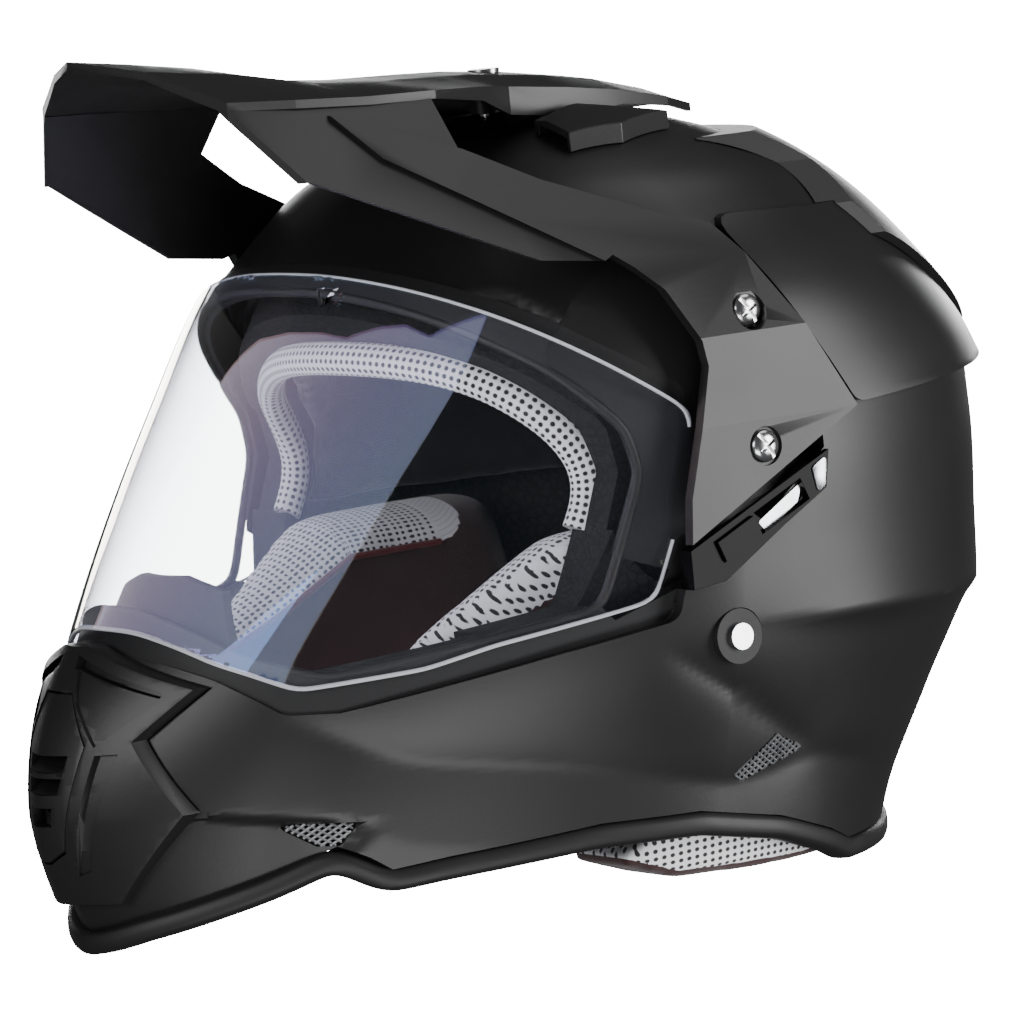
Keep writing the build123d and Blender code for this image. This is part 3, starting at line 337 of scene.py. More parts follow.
def shield_layer(outer, inner, low, high, across=140, up=60, name="layer"):
    """A closed wall between two depths under the shield's surface."""
    out = shield_grid(outer, PIVOT[0] + 20, low, high, across, up)
    ins = shield_grid(inner, PIVOT[0] + 20, low, high, across, up)
    wide = across + 2
    loops = np.concatenate([out, ins[:, ::-1]], axis=1)
    points = [tuple(p) for p in loops.reshape(-1, 3)]
    faces = ring_faces(up, 2 * wide)
    last = (up - 1) * 2 * wide
    for i in range(wide - 1):
        faces.append((i, i + 1, 2 * wide - 2 - i, 2 * wide - 1 - i))
        faces.append((last + i, last + i + 1, last + 2 * wide - 2 - i, last + 2 * wide - 1 - i))
    return tidy(mesh_of(name, points, faces))


def hinge_room(depth, side):
    """The room over the pocket's floor on one side, as a turned block about the hinge."""
    floor = [(x * HALF_WIDTH - depth, far * HALF_LENGTH) for far, x in POCKET_FLOOR]
    rim = [(REACH, floor[-1][1])]
    around = 72
    points, faces = [(side * floor[0][0], *PIVOT)], []
    for x, far in floor[1:] + rim:
        for k in range(around):
            turn = 2 * math.pi * k / around
            points.append((side * x, PIVOT[0] + far * math.cos(turn), PIVOT[1] + far * math.sin(turn)))
    faces += [(0, 1 + k, 1 + (k + 1) % around) for k in range(around)]
    faces += ring_faces(len(floor), around, 1)
    last = 1 + (len(floor) - 1) * around
    faces.append(tuple(last + k for k in range(around)))
    return tidy(mesh_of("tool", points, faces))


def grown(outline, amount):
    """An outline pushed out from its own middle by an amount at each corner."""
    middle = Vector((sum(a for a, b in outline) / len(outline), sum(b for a, b in outline) / len(outline)))
    made = []
    for point in outline:
        way = Vector(point) - middle
        made.append(tuple(Vector(point) + way.normalized() * amount))
    return made


def over_rim(lift):
    """A block over the rim line, raised by a lift."""
    line = [(y, z + lift) for y, z in side_view(RIM)]
    top = REACH * 2
    return prism(line + [(line[-1][0], top), (line[0][0], top)], "X", -REACH, REACH)


def both_halves(half):
    """A closed outline from its right half, mirrored about the middle."""
    return half + [(-x, z) for x, z in reversed(half)]


# Pieces and the frame

def dress(piece, body, material, slot, *nodes, angle=None):
    """Gives a piece its material and its place in the frame."""
    if angle is not None:
        tidy(piece, angle)
    piece.data.materials.clear()
    piece.data.materials.append(material)
    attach(piece, body)
    if nodes:
        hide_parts(*nodes)
    return piece


def keep_node(name, material):
    """Gives a CAD node that stays its material."""
    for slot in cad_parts[name].material_slots:
        slot.material = material


def node_copy(name, piece_name, angle=25.0, flat=0.6):
    """A merged copy of a CAD node, with its flat faces whole again."""
    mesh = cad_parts[name].data.copy()
    made = bpy.data.objects.new(piece_name, mesh)
    bpy.context.scene.collection.objects.link(made)
    shape = bmesh.new()
    shape.from_mesh(mesh)
    bmesh.ops.remove_doubles(shape, verts=shape.verts, dist=2e-6)
    if flat:
        bmesh.ops.dissolve_limit(shape, angle_limit=math.radians(flat), verts=shape.verts, edges=shape.edges)
    shape.to_mesh(mesh)
    shape.free()
    mesh.shade_smooth()
    mesh.set_sharp_from_angle(angle=math.radians(angle))
    return made


# Geometry Nodes for what repeats or follows a path

def add_node(tree, kind, values=None, links=None, **settings):
    """Adds a node with its settings, socket values and links."""
    node = tree.nodes.new(kind)
    for key, value in settings.items():
        setattr(node, key, value)
    for key, value in (values or {}).items():
        node.inputs[key].default_value = value
    for key, socket in (links or {}).items():
        tree.links.new(socket, node.inputs[key])
    return node


def start_tree(name, sockets):
    """A Geometry Nodes tree with named inputs, and its input node."""
    tree = bpy.data.node_groups.new(name, "GeometryNodeTree")
    tree.interface.new_socket("Geometry", in_out="INPUT", socket_type="NodeSocketGeometry")
    tree.interface.new_socket("Geometry", in_out="OUTPUT", socket_type="NodeSocketGeometry")
    for label, kind in sockets:
        tree.interface.new_socket(label, in_out="INPUT", socket_type=f"NodeSocket{kind}")
    return tree, add_node(tree, "NodeGroupInput")


def end_tree(tree, inputs, geometry):
    """Realizes the instances, sets the material and closes the tree."""
    real = add_node(tree, "GeometryNodeRealizeInstances", links={"Geometry": geometry})
    painted = add_node(tree, "GeometryNodeSetMaterial",
                       links={"Geometry": real.outputs[0], "Material": inputs.outputs["Material"]})
    add_node(tree, "NodeGroupOutput", links={"Geometry": painted.outputs[0]})
    return tree


def bead_tree():
    """A round bead, wire or piping along every edge of a path."""
    tree, inputs = start_tree("Bead along a path",
                              [("Radius", "Float"), ("Sides", "Int"), ("Material", "Material")])
    curve = add_node(tree, "GeometryNodeMeshToCurve", links={"Mesh": inputs.outputs["Geometry"]})
    ring = add_node(tree, "GeometryNodeCurvePrimitiveCircle",
                    links={"Radius": inputs.outputs["Radius"], "Resolution": inputs.outputs["Sides"]})
    tube = add_node(tree, "GeometryNodeCurveToMesh", {"Fill Caps": True},
                    {"Curve": curve.outputs[0], "Profile Curve": ring.outputs[0]})
    return end_tree(tree, inputs, tube.outputs[0])


def places_tree():
    """One small piece at every point of a mesh, turned to the point's normal."""
    tree, inputs = start_tree("Pieces at places",
                              [("Piece", "Object"), ("Turn", "Float"), ("Material", "Material")])
    part = add_node(tree, "GeometryNodeObjectInfo", links={"Object": inputs.outputs["Piece"]})
    normal = add_node(tree, "GeometryNodeInputNamedAttribute", {"Name": "way"}, data_type="FLOAT_VECTOR")
    facing = add_node(tree, "FunctionNodeAlignRotationToVector", axis="Z",
                      links={"Vector": normal.outputs["Attribute"]})
    spin = add_node(tree, "FunctionNodeAxisAngleToRotation", {"Axis": (0, 0, 1)},
                    {"Angle": inputs.outputs["Turn"]})
    turned = add_node(tree, "FunctionNodeRotateRotation", rotation_space="LOCAL",
                      links={"Rotation": facing.outputs[0], "Rotate By": spin.outputs[0]})
    put = add_node(tree, "GeometryNodeInstanceOnPoints",
                   links={"Points": inputs.outputs["Geometry"], "Instance": part.outputs["Geometry"],
                          "Rotation": turned.outputs[0]})
    return end_tree(tree, inputs, put.outputs[0])


def grow(piece, tree, **inputs):
    """Runs a Geometry Nodes tree on a piece and keeps the plain mesh that it gives."""
    made = piece.modifiers.new(tree.name, "NODES")
    made.node_group = tree
    names = {s.name: s.identifier for s in tree.interface.items_tree if s.in_out == "INPUT"}
    for key, value in inputs.items():
        made[names[key.replace("_", " ")]] = value
    return settle(piece)


def path_mesh(name, paths, closed=False):
    """A mesh of edges through lines of points in millimetres."""
    points, edges = [], []
    for path in paths:
        first = len(points)
        points += [tuple(c * MM for c in p) for p in path]
        edges += [(first + i, first + i + 1) for i in range(len(path) - 1)]
        if closed:
            edges.append((len(points) - 1, first))
    mesh = bpy.data.meshes.new(name)
    mesh.from_pydata(points, edges, [])
    made = bpy.data.objects.new(name, mesh)
    bpy.context.scene.collection.objects.link(made)
    return made


# Materials

def start_material(name, code, roughness, **sockets):
    """A material with its shader set to a colour, a roughness and other constants."""
    made = bpy.data.materials.new(name)
    made.use_nodes = True
    tree = made.node_tree
    shader = tree.nodes["Principled BSDF"]
    shader.inputs["Base Color"].default_value = linear(code)
    shader.inputs["Roughness"].default_value = roughness
    for key, value in sockets.items():
        shader.inputs[key.replace("_", " ")].default_value = value
    return made, tree, shader


def object_scale(tree, size_mm):
    """Object coordinates scaled so that one unit of a pattern is a size in millimetres."""
    place = add_node(tree, "ShaderNodeTexCoord")
    scale = 1 / (size_mm * MM)
    return add_node(tree, "ShaderNodeMapping", {"Scale": (scale, scale, scale)},
                    {"Vector": place.outputs["Object"]}).outputs[0]


def grain(tree, shader, size_mm, depth_mm, code_low, code_high, rough_low, rough_high, cloud_mm=45.0):
    """Moulded or lacquered grain: fine bumps, and cloudy changes of colour and gloss."""
    fine = add_node(tree, "ShaderNodeTexNoise", {"Scale": 1.0, "Detail": 3.0, "Roughness": 0.6},
                    {"Vector": object_scale(tree, size_mm)})
    cloud = add_node(tree, "ShaderNodeTexNoise", {"Scale": 1.0, "Detail": 4.0},
                     {"Vector": object_scale(tree, cloud_mm)})
    bump = add_node(tree, "ShaderNodeBump", {"Strength": 0.6, "Distance": depth_mm * MM},
                    {"Height": fine.outputs[0]})
    tint = mix_colour(tree, cloud.outputs[0], code_low, code_high)
    gloss = add_node(tree, "ShaderNodeMapRange", {"To Min": rough_low, "To Max": rough_high},
                     {"Value": cloud.outputs[0]})
    tree.links.new(tint, shader.inputs["Base Color"])
    tree.links.new(gloss.outputs[0], shader.inputs["Roughness"])
    tree.links.new(bump.outputs[0], shader.inputs["Normal"])
    return bump


def mix_colour(tree, factor, first, second):
    """A blend of two colours by a factor. Each is a hex code, a linear colour or a socket."""
    node = add_node(tree, "ShaderNodeMix", data_type="RGBA")
    tree.links.new(factor, node.inputs[0])
    for value, socket in ((first, node.inputs[6]), (second, node.inputs[7])):
        if isinstance(value, bpy.types.NodeSocket):
            tree.links.new(value, socket)
        else:
            socket.default_value = linear(value) if isinstance(value, str) else value
    return node.outputs[2]


def shade(colour, share):
    """A linear colour made darker or lighter by a share, with its alpha kept."""
    return (*(part * share for part in colour[:3]), colour[3])


def haze(tree, shader, size_mm, low, high):
    """Soft changes of gloss over a clear sheet, between two roughnesses."""
    cloud = add_node(tree, "ShaderNodeTexNoise", {"Scale": 1.0, "Detail": 3.0},
                     {"Vector": object_scale(tree, size_mm)})
    rough = add_node(tree, "ShaderNodeMapRange", {"To Min": low, "To Max": high}, {"Value": cloud.outputs[0]})
    tree.links.new(rough.outputs[0], shader.inputs["Roughness"])


def hole_pattern(tree):
    """Rows of round holes from a piece's own UV map in millimetres: 1 in a hole and 0 between."""
    place = add_node(tree, "ShaderNodeUVMap", uv_map="cloth")
    size = add_node(tree, "ShaderNodeMapping", {"Scale": (1 / HOLE_PITCH, 1 / HOLE_PITCH, 1.0)},
                    {"Vector": place.outputs[0]})
    far = add_node(tree, "ShaderNodeTexVoronoi", {"Scale": 1.0, "Randomness": 0.0},
                   {"Vector": size.outputs[0]}, feature="F1", voronoi_dimensions="2D")
    return add_node(tree, "ShaderNodeMapRange", {"From Min": 0.33, "From Max": 0.24},
                    {"Value": far.outputs["Distance"]})


def matt_abs():
    """Lacquered ABS, sprayed matt: a warm near-black skin with a fine tooth and a soft, wide highlight."""
    made, tree, shader = start_material("lacquered_abs_matt", "1c1b1c", 0.4, IOR=1.54)
    colour = bpy.context.scene.helmet_sizes.shell_colour
    grain(tree, shader, 1.1, 0.04, shade(colour, 0.87), shade(colour, 1.17), 0.36, 0.44)
    return made


def moulded_nylon():
    """Injection moulded nylon: duller than the lacquer, with a coarser grain."""
    made, tree, shader = start_material("moulded_nylon_black", "1b1b1d", 0.55, IOR=1.53)
    grain(tree, shader, 1.4, 0.08, "18181a", "1f1f22", 0.5, 0.62, 30)
    return made


def polished_abs():
    """Polished ABS: deep black, with mirror-like highlights and faint swirl marks."""
    made, tree, shader = start_material("polished_abs_black", "08080a", 0.2, IOR=1.54,
                                        Specular_IOR_Level=0.06)
    grain(tree, shader, 9.0, 0.01, "070708", "0b0b0d", 0.16, 0.26, 18)
    return made


def rim_rubber():
    """Extruded EPDM edging: soft black rubber with a faint bloom."""
    made, tree, shader = start_material("extruded_rubber_black", "1a191a", 0.5, IOR=1.52)
    grain(tree, shader, 0.9, 0.04, "171617", "201f20", 0.44, 0.56, 22)
    return made


def clear_sheet():
    """Hard-coated clear polycarbonate: nearly lost to the eye but for its edges and a faint lilac sheen."""
    made, tree, shader = start_material("hard_coated_polycarbonate_clear", "f4f5f7", 0.015, IOR=1.585,
                                        Transmission_Weight=1.0, Coat_Weight=0.25, Coat_Roughness=0.02)
    shader.inputs["Thin Film Thickness"].default_value = 320.0
    shader.inputs["Thin Film IOR"].default_value = 1.4
    haze(tree, shader, 40, 0.01, 0.03)
    let_light_through(tree, shader, 0.88)
    return made


def painted_edge_highlight():
    """Off-white, partly clear polycarbonate for the tubes on the shield's edges: cloudy and brighter than the
    sheet, a painted highlight where the edges catch the light.
    """
    # The off-white base colour paints the highlight along the shield's edges.
    made, tree, shader = start_material("polycarbonate_edge_painted_highlight", "eef0f6", 0.16, IOR=1.585,
                                        Transmission_Weight=0.3)
    haze(tree, shader, 12, 0.1, 0.25)
    return made


def let_light_through(tree, shader, share):
    """Lets a share of the light through a clear sheet as plain light, so what is behind it is lit."""
    path = add_node(tree, "ShaderNodeLightPath")
    part = add_node(tree, "ShaderNodeMath", {1: share}, {0: path.outputs["Is Shadow Ray"]},
                    operation="MULTIPLY")
    clear = add_node(tree, "ShaderNodeBsdfTransparent")
    both = add_node(tree, "ShaderNodeMixShader",
                    links={0: part.outputs[0], 1: shader.outputs[0], 2: clear.outputs[0]})
    tree.links.new(both.outputs[0], tree.nodes["Material Output"].inputs["Surface"])


def smoke_sheet():
    """Smoke-tinted polycarbonate: the drop-down visor, dark and glossy."""
    made, tree, shader = start_material("tinted_polycarbonate_smoke", "3a3836", 0.03, IOR=1.585,
                                        Transmission_Weight=0.85)
    haze(tree, shader, 40, 0.02, 0.05)
    return made


def bright_metal(name, code, roughness, cloud_mm=6.0):
    """Bright metal with fine turning marks and small changes of gloss."""
    made, tree, shader = start_material(name, code, roughness, Metallic=1.0)
    marks = add_node(tree, "ShaderNodeTexNoise", {"Scale": 1.0, "Detail": 4.0},
                     {"Vector": object_scale(tree, 0.5)})
    cloud = add_node(tree, "ShaderNodeTexNoise", {"Scale": 1.0, "Detail": 2.0},
                     {"Vector": object_scale(tree, cloud_mm)})
    bump = add_node(tree, "ShaderNodeBump", {"Strength": 0.15, "Distance": 0.01 * MM},
                    {"Height": marks.outputs[0]})
    gloss = add_node(tree, "ShaderNodeMapRange", {"To Min": roughness * 0.7, "To Max": roughness * 1.5},
                     {"Value": cloud.outputs[0]})
    tree.links.new(gloss.outputs[0], shader.inputs["Roughness"])
    tree.links.new(bump.outputs[0], shader.inputs["Normal"])
    return made


def bead_foam():
    """Moulded bead foam: dull black, with the outlines of its fused beads, which are about 3 mm across."""
    made, tree, shader = start_material("expanded_polystyrene_black", "1a1a1b", 0.85)
    beads = add_node(tree, "ShaderNodeTexVoronoi", {"Scale": 1.0}, {"Vector": object_scale(tree, 3.0)},
                     feature="DISTANCE_TO_EDGE")
    seam = add_node(tree, "ShaderNodeMapRange", {"From Max": 0.18}, {"Value": beads.outputs["Distance"]})
    bump = add_node(tree, "ShaderNodeBump", {"Strength": 0.5, "Distance": 0.25 * MM},
                    {"Height": seam.outputs[0]})
    tree.links.new(mix_colour(tree, seam.outputs[0], "101011", "1e1e20"), shader.inputs["Base Color"])
    tree.links.new(bump.outputs[0], shader.inputs["Normal"])
    return made


def spacer_mesh():
    """Knitted spacer mesh: white cloth with rows of round holes, their pitch 2.7 mm, over a dark ground."""
    made, tree, shader = start_material("knitted_spacer_mesh_white", "d9dadd", 0.8, Sheen_Weight=0.25)
    hole = hole_pattern(tree)
    knit = add_node(tree, "ShaderNodeTexNoise", {"Scale": 1.0, "Detail": 2.0},
                    {"Vector": object_scale(tree, 0.7)})
    cloth = mix_colour(tree, knit.outputs[0], "f0f1f6", "ffffff")
    tree.links.new(mix_colour(tree, hole.outputs[0], cloth, "2a2528"), shader.inputs["Base Color"])
    bump = add_node(tree, "ShaderNodeBump", {"Strength": 0.9, "Distance": 0.6 * MM},
                    {"Height": hole.outputs[0]})
    bump.invert = True
    tree.links.new(bump.outputs[0], shader.inputs["Normal"])
    return made


def brushed_cloth(name, low, high):
    """Brushed polyester knit: short nap with soft sheen, its ribs 1.1 mm apart."""
    made, tree, shader = start_material(name, "2a1416", 0.9, Sheen_Weight=0.35, Sheen_Roughness=0.5)
    nap_of(tree, shader, low, high)
    return made


def nap_of(tree, shader, low, high):
    """The nap of a brushed cloth, as bumps and a blend of two colours, which it gives back."""
    nap = add_node(tree, "ShaderNodeTexNoise", {"Scale": 1.0, "Detail": 4.0},
                   {"Vector": object_scale(tree, 1.1)})
    cloud = add_node(tree, "ShaderNodeTexNoise", {"Scale": 1.0, "Detail": 2.0},
                     {"Vector": object_scale(tree, 18)})
    blend = add_node(tree, "ShaderNodeMath", {1: 0.5}, {0: nap.outputs[0]}, operation="MULTIPLY")
    blend = add_node(tree, "ShaderNodeMath", links={0: blend.outputs[0], 1: cloud.outputs[0]},
                     operation="MULTIPLY_ADD")
    blend.inputs[2].default_value = 0.25
    colour = mix_colour(tree, blend.outputs[0], low, high)
    tree.links.new(colour, shader.inputs["Base Color"])
    bump = add_node(tree, "ShaderNodeBump", {"Strength": 0.5, "Distance": 0.3 * MM},
                    {"Height": nap.outputs[0]})
    tree.links.new(bump.outputs[0], shader.inputs["Normal"])
    return colour


def pad_cloth():
    """Two cloths sewn side by side: maroon polyester, and white spacer mesh where "mesh_share" is 1."""
    made, tree, shader = start_material("sewn_polyester_maroon_and_mesh", "3a1c1e", 0.88, Sheen_Weight=0.3)
    plain = nap_of(tree, shader, "2a1315", "4d2a2b")
    hole = hole_pattern(tree)
    cloth = mix_colour(tree, hole.outputs[0], "f8f8fb", "2a2528")
    zone = add_node(tree, "ShaderNodeAttribute", attribute_name="mesh_share")
    edge = add_node(tree, "ShaderNodeMapRange", {"From Min": 0.45, "From Max": 0.55},
                    {"Value": zone.outputs["Fac"]})
    tree.links.new(mix_colour(tree, edge.outputs[0], plain, cloth), shader.inputs["Base Color"])
    return made


def webbing():
    """Woven polyester webbing: a black twill, its ribs 1.6 mm apart."""
    made, tree, shader = start_material("woven_polyester_webbing", "141415", 0.75, Sheen_Weight=0.2)
    twill = add_node(tree, "ShaderNodeTexWave", {"Scale": 0.31, "Distortion": 0.4, "Detail": 2.0},
                     {"Vector": object_scale(tree, 1.6)}, bands_direction="DIAGONAL")
    bump = add_node(tree, "ShaderNodeBump", {"Strength": 0.7, "Distance": 0.3 * MM},
                    {"Height": twill.outputs["Fac"]})
    tree.links.new(mix_colour(tree, twill.outputs["Fac"], "0e0e0f", "222224"), shader.inputs["Base Color"])
    tree.links.new(bump.outputs[0], shader.inputs["Normal"])
    return made


def red_nylon():
    """Injection moulded red nylon of the buckle's lever."""
    made, tree, shader = start_material("moulded_nylon_red", "a31c1c", 0.42, IOR=1.53)
    grain(tree, shader, 1.0, 0.05, "971818", "ae2222", 0.36, 0.5, 12)
    return made


FINISH = {}


def make_finishes():
    """Makes every material once."""
    # The "edge" finish is a painted highlight for the tubes on the shield's edges.
    FINISH.update(shell=matt_abs(), nylon=moulded_nylon(), gloss=polished_abs(), rubber=rim_rubber(),
                  clear=clear_sheet(), edge=painted_edge_highlight(), smoke=smoke_sheet(), foam=bead_foam(),
                  mesh=spacer_mesh(), webbing=webbing(), red=red_nylon(), pad=pad_cloth())
    FINISH["screw"] = bright_metal("turned_aluminium_polished", "d8d8da", 0.2)
    FINISH["steel"] = bright_metal("zinc_plated_steel", "a9abb0", 0.3)
    FINISH["wire"] = bright_metal("stamped_aluminium_silver", "c9cacd", 0.35)
    FINISH["dark"] = brushed_cloth("brushed_polyester_black", "0e0d0f", "1c1a1d")
    colour = bpy.context.scene.helmet_sizes.piping_colour
    FINISH["piping"] = brushed_cloth("polyester_piping_red", shade(colour, 0.7), shade(colour, 1.35))
    FINISH["silver"] = bright_metal("vacuum_plated_abs_silver", "c4c6ca", 0.25)


# The pieces

def side_reach(table_rows, depth, y):
    """How far from the middle a front surface stands at side view places, and 0 in front of it."""
    length, width = HALF_LENGTH - depth, HALF_WIDTH - depth
    front, middle, side, power = table_rows
    share = np.clip((middle - y / length) / (middle - front), 0, 1)
    return side * width * (1 - share ** power) ** (1 / power)


def shield_reach(depth, y, z):
    """The half width of the shield's surface, drawn in by a depth, at side view places."""
    _, front, middle, side, power = rows_at(SHIELD, np.asarray(z) / (SHELL_HEIGHT - depth)).T
    return side_reach((front, middle, side, power), depth, np.asarray(y))


def shell_reach(depth, y, z):
    """The half width of the shell's surface, drawn in by a depth, at side view places."""
    length, width = HALF_LENGTH - depth, HALF_WIDTH - depth
    _, front, middle, back, side, fore, aft = rows_at(FORM, np.asarray(z) / (SHELL_HEIGHT - depth)).T
    y = np.asarray(y) / length
    ahead = y < middle
    share = np.clip(np.where(ahead, (middle - y) / (middle - front), (y - middle) / (back - middle)), 0, 1)
    power = np.where(ahead, fore, aft)
    return side * width * (1 - share ** power) ** (1 / power)


def evenly(line, step, closed=False):
    """Points along a line at even steps."""
    line = np.array(line + line[:1] if closed else line, float)
    runs = np.concatenate([[0], np.cumsum(np.linalg.norm(np.diff(line, axis=0), axis=1))])
    places = np.linspace(0, runs[-1], max(2, round(runs[-1] / step) + 1))
    made = np.stack([np.interp(places, runs, line[:, k]) for k in range(line.shape[1])], axis=-1)
    return made[:-1] if closed else made


def outward(grid):
    """Unit normals of a closed grid of rows of points."""
    around = np.roll(grid, -1, axis=1) - np.roll(grid, 1, axis=1)
    up = np.gradient(grid, axis=0)
    normal = np.cross(around, up)
    normal /= np.maximum(np.linalg.norm(normal, axis=-1, keepdims=True), 1e-9)
    return normal if (normal[..., 1] * (grid[..., 1] - 10)).sum() > 0 else -normal


def eased(value, low, high):
    """A smooth step from 0 at low to 1 at high."""
    t = np.clip((value - low) / (high - low), 0, 1)
    return t * t * (3 - 2 * t)


# The shell's folds in the side view, in mm: the skirt's upper line, the nape ridge and the hinge fold.
FLARE = [(-175, 80), (-140, 76), (-116, 71.6), (-91, 57.5), (-85, 55.5), (-43.5, 48.7), (12.8, 35.2),
         (17.7, 34.8), (52.3, 38.8), (93.9, 27.2), (140, 20)]
RIDGE = [(-20, 91), (13.7, 88), (49.3, 84.9), (114, 82.5), (180, 81)]
DIAGONAL = [(-2, 76), (45.5, 42.2)]
# The sunk panel beside the chin's plate: its upper edge, and its rear edge by height.
PANEL_TOP = [(-172, 49.0), (-140, 45.6), (-97.4, 38.5)]
PANEL_END = [(10, -110.0), (25.9, -106.4), (38.5, -97.4), (60, -82)]
# The fold over the brow.
BROW = [(-60, 199), (-52.6, 197.5), (-35.3, 197.5), (-20.3, 180), (-3.7, 163), (10, 158)]


def shell_creases(grid):
    """Raises the folds of the shell: the nape ridge, the skirt's flare and the brow."""
    y, z = grid[..., 1], grid[..., 2]
    over = z - np.interp(y, *np.array(RIDGE).T)
    ridge = np.where(over > 0, np.exp(-over / 16), np.exp(over / 4)) * RIDGE_RISE * eased(y, 5, 95)
    under = np.interp(y, *np.array(FLARE).T) - z
    skirt = np.where(under > 0, np.clip(under / 26, 0, 1) * SKIRT_RISE - SKIRT_DIP,
                     -SKIRT_DIP * np.exp(under / 9))
    skirt *= eased(y, -128, -104) * (1 - eased(y, 60, 120))
    (y0, z0), (y1, z1) = DIAGONAL
    way = np.array([y1 - y0, z1 - z0]) / math.hypot(y1 - y0, z1 - z0)
    along = (y - y0) * way[0] + (z - z0) * way[1]
    off = (y - y0) * way[1] - (z - z0) * way[0]
    fold = -FOLD_DIP * np.exp(-np.abs(off) / 6) * eased(along, -18, 4) * (1 - eased(along, 50, 66))
    above = z - np.interp(y, *np.array(BROW).T)
    brow = BROW_RISE * np.where(above > 0, np.exp(-above / 14), np.exp(above / 3))
    brow *= eased(y, -64, -50) * (1 - eased(y, -6, 8))
    inner = np.minimum(np.interp(y, *np.array(PANEL_TOP).T) - z, np.interp(z, *np.array(PANEL_END).T) - y)
    panel = -PANEL_DIP * eased(inner, 0, 2.5)
    return grid + outward(grid) * (ridge + skirt + fold + brow + panel)[..., None]


def ledge_flare(grid):
    """Turns out the lower edge of the raised back plate."""
    line = np.array([(y * HALF_LENGTH, z * SHELL_HEIGHT) for y, z in (LEDGE[0], LEDGE[4])])
    over = grid[..., 2] - np.interp(grid[..., 1], line[:, 0], line[:, 1])
    lift = 3.0 * np.exp(-np.abs(over) / 9) * eased(grid[..., 1], 50, 110)
    return grid + outward(grid) * lift[..., None]


def side_disc(radius, place, low, high, sides=40):
    """Two mirrored discs along X, as blocks."""
    ring = [(place[0] + radius * math.cos(a), place[1] + radius * math.sin(a))
            for a in np.linspace(0, 2 * math.pi, sides, endpoint=False)]
    return [prism(ring, "X", low, high), prism(ring, "X", -high, -low)]


def build_shell():
    """The outer shell with its face opening, pockets, windows and raised back."""
    hollow = shell_layer_solid(SHELL_WALL, -8, 200, 80)
    for side in (1, -1):
        backing = hinge_room(POCKET_WALL, side)
        carve(backing, prism(grown(side_view(POCKET), SHELL_WALL), "X", -REACH, REACH), keep=True)
        carve(hollow, backing)
    shell = shell_layer_solid(0, -6, 280, 130, shell_creases)
    carve(shell, hollow)
    carve(shell, over_rim(SHELL_FOOT), keep=True)
    seat = prism(rounded(side_view(SEAT), 6), "X", -REACH, REACH)
    chin = prism(both_halves(front_view(CHIN_OPENING)), "Y", -REACH, CHIN_BACK)
    windows = [prism(rounded(side_view(outline), 1.5), "X", -REACH, REACH)
               for outline in (FRONT_MESH, REAR_MESH)]
    carve(shell, joined([chin, *windows, *side_disc(RIVET_SEAT, RIVET_PLACE, RIVET_FLOOR, REACH)]))
    carve(shell, seat)
    groove = shell_layer(-3.0, 1.4, 8, 104, 200, 50, name="tool")
    carve(groove, prism(grown(both_halves(CHIN_PLATE), 1.8), "Y", -REACH, CHIN_BACK), keep=True)
    carve(shell, groove)
    for side in (1, -1):
        room = hinge_room(0, side)
        carve(room, prism(side_view(POCKET), "X", -REACH, REACH), keep=True)
        carve(shell, room)
    plate = shell_layer(-LEDGE_PROUD, 2.0, 120, SHELL_HEIGHT, 240, 90, ledge_flare)
    carve(plate, prism(rounded(side_view(LEDGE), 6), "X", -REACH, REACH), keep=True)
    return joined([shell, plate])


def shell_layer_solid(depth, low, around, up, shape=None):
    """The closed solid inside the shell's surface drawn in by a depth."""
    grid = form_grid(depth, low, SHELL_HEIGHT - depth, around, up)
    if shape:
        grid = shape(grid)
    points = [tuple(p) for p in grid.reshape(-1, 3)]
    faces = ring_faces(up, around)
    last = (up - 1) * around
    faces += [tuple(range(around))[::-1], tuple(last + i for i in range(around))]
    return tidy(mesh_of("outer_shell_skin", points, faces))


def swept(name, path, normals, profile, closed=True):
    """A tube with an oval or shaped profile along a path, with a UV map in millimetres."""
    path, normals = np.array(path), np.array(normals)
    if closed:
        ways = np.roll(path, -1, axis=0) - np.roll(path, 1, axis=0)
    else:
        ways = np.gradient(path, axis=0)
    ways /= np.linalg.norm(ways, axis=1, keepdims=True)
    across = np.cross(ways, normals)
    across /= np.linalg.norm(across, axis=1, keepdims=True)
    out = np.cross(across, ways)
    ring = len(profile)
    points = [tuple(p + a * u + b * v) for p, u, v in zip(path, across, out) for a, b in profile]
    faces = []
    rows = len(path)
    for j in range(rows if closed else rows - 1):
        for i in range(ring):
            n, m = (j + 1) % rows, (i + 1) % ring
            faces.append((j * ring + i, j * ring + m, n * ring + m, n * ring + i))
    if not closed:
        faces += [tuple(range(ring)), tuple((rows - 1) * ring + i for i in range(ring))[::-1]]
    made = mesh_of(name, points, faces)
    runs = np.concatenate([[0], np.cumsum(np.linalg.norm(np.diff(path, axis=0), axis=1))])
    girth = np.concatenate([[0],
                            np.cumsum([math.dist(profile[i], profile[(i + 1) % ring]) for i in range(ring)])])
    layer = made.data.uv_layers.new(name="cloth")
    for face in made.data.polygons[:len(faces)]:
        j, i = divmod(face.index, ring)
        for corner in face.loop_indices:
            k = made.data.loops[corner].vertex_index
            row, spot = divmod(k, ring)
            u = runs[row]
            if closed and j == rows - 1 and row == 0:
                u = runs[-1] + math.dist(path[-1], path[0])
            v = girth[spot] if not (i == ring - 1 and spot == 0) else girth[-1]
            layer.data[corner].uv = (u, v)
    return made


def oval(wide, high, steps=14, power=2.0):
    """A closed oval profile."""
    turns = np.linspace(0, 2 * math.pi, steps, endpoint=False)
    points = [(math.cos(t), math.sin(t)) for t in turns]
    return [(wide * math.copysign(abs(a) ** (2 / power), a), high * math.copysign(abs(b) ** (2 / power), b))
            for a, b in points]


